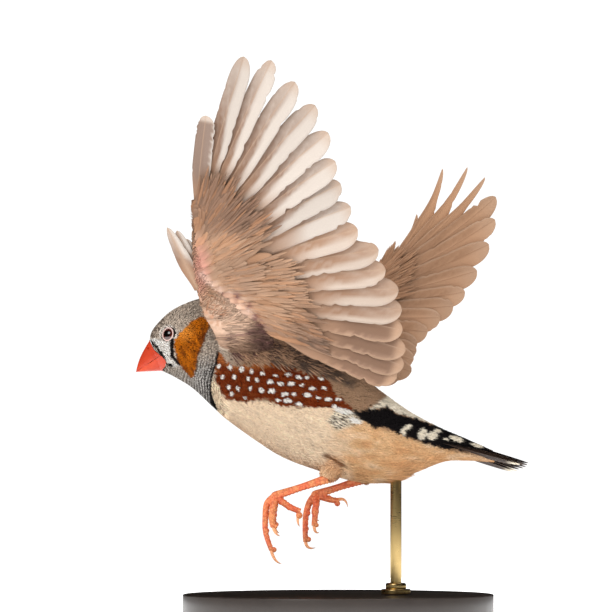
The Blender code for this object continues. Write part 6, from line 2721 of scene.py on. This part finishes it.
@dataclass
class Studio:
    """Floor, lights and camera. The picture is 605 by 612 points."""

    picture_height: int = 612
    scale: float = 0.27
    middle_x: float = 302.5
    middle_y: float = 306.0
    origin_x: float = 338.2
    floor_y: float = 612.7
    distance: float = 2500.0
    sensor: float = 36.0
    floor_radius: float = 330.0
    floor_thickness: float = 20.0
    floor_middle: float = 10.2
    room_light: float = 1.1
    # Lamps: name, place, width and power
    lamps: tuple = (("key", (-420, -620, 620), 500, 2.8), ("top", (160, 60, 700), 420, 0.9))
    aim: tuple = (-8, 0, 80)

    def build_floor(self, material: bpy.types.Material) -> bpy.types.Object:
        """A round white table just under the base."""
        obj = Workshop.primitive(
            bpy.ops.mesh.primitive_cylinder_add,
            "studio_table",
            vertices=128,
            radius=self.floor_radius * MM,
            depth=self.floor_thickness * MM,
            location=(0, 0, -self.floor_middle * MM),
        )
        obj.data.materials.append(material)
        return obj

    def build_camera(self) -> bpy.types.Object:
        """The camera, level and square to the bird's left side."""
        camera = bpy.data.objects.new("camera", bpy.data.cameras.new("camera"))
        bpy.context.scene.collection.objects.link(camera)
        x = (self.middle_x - self.origin_x) * self.scale
        z = (self.floor_y - self.middle_y) * self.scale
        camera.location = Vector((x, -self.distance, z)) * MM
        camera.rotation_euler = (math.pi / 2, 0, 0)
        camera.data.sensor_width = self.sensor
        camera.data.lens = self.sensor * self.distance / (self.picture_height * self.scale)
        camera.data.clip_start = 0.05
        camera.data.clip_end = 50.0
        bpy.context.scene.camera = camera
        return camera

    def build_lights(self) -> None:
        """A white room, a broad key from the upper left and a weaker lamp above."""
        world = bpy.data.worlds.new("white_room")
        world.use_nodes = True
        background = world.node_tree.nodes["Background"]
        background.inputs["Color"].default_value = WHITE
        background.inputs["Strength"].default_value = self.room_light
        world.cycles_visibility.glossy = False
        bpy.context.scene.world = world
        for name, place, size, power in self.lamps:
            data = bpy.data.lights.new(name, "AREA")
            data.shape = "DISK"
            data.size = size * MM
            data.energy = power
            lamp = bpy.data.objects.new(name, data)
            lamp.location = Vector(place) * MM
            aim = Vector(self.aim) - Vector(place)
            lamp.rotation_euler = aim.to_track_quat("-Z", "Y").to_euler()
            bpy.context.scene.collection.objects.link(lamp)
        bpy.context.scene.view_settings.view_transform = "Standard"


def main() -> None:
    """Builds every sub-assembly in order."""
    logging.basicConfig(level=logging.INFO, format="%(message)s")
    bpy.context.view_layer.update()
    studio = Studio()
    studio.build_camera()
    studio.build_lights()
    studio.build_floor(FloorFinish().material())
    soft, vanes = CoatFinish().material(), VaneFinish().material()
    trunk = Trunk()
    markings = Markings()
    wings = (Wing(LEFT), Wing(RIGHT))
    legs = (LEFT_LEG, RIGHT_LEG)
    bill = Bill(trunk)
    body = Body(trunk, markings, wings, legs, bill)
    pieces = [body.build_skin(SkinFinish().material())]
    coat = Coat()
    pieces += body.build_coat(coat, soft)
    for wing in wings:
        lining = Coat(seed=7, blades=4, unevenness=0.16, shades=(0.84, 0.94, 1.0, 1.05))
        pieces += wing.build(lining, vanes, soft)
    pieces.append(Tail(trunk).build(vanes))
    fluff = body.build_fluff(Coat(seed=15, blades=4, fan=0.7, unevenness=0.1))
    pieces.append(Workshop.from_parts("coat_fluff", fluff, soft))
    thighs = Parts.joined([leg.build_thigh(Coat(seed=9), markings) for leg in legs])
    pieces.append(Workshop.from_parts("coat_thighs", thighs, soft))
    scales, horn = LegFinish().material(), ClawFinish().material()
    for leg in legs:
        pieces += [leg.build_limb(scales), leg.build_claws(horn)]
    pieces.append(bill.build(1, BillFinish("bill_upper_horn", Tone.BILL, Tone.BILL_EDGE).material()))
    pieces.append(bill.build(-1, BillFinish("bill_lower_horn", Tone.BILL_LOW, Tone.BILL_EDGE).material()))
    eyes = Eyes(trunk)
    eye_finish, lid_finish = EyeFinish().material(), LidFinish().material()
    for side in (-1, 1):
        pieces += eyes.build(side, eye_finish, lid_finish)
    stand = Stand()
    pieces += [stand.build_base(WoodFinish().material()), stand.build_rod(BrassFinish().material())]
    for piece in pieces:
        log.info("%s: %d faces", piece.name, len(piece.data.polygons))


if __name__ == "__main__":
    main()
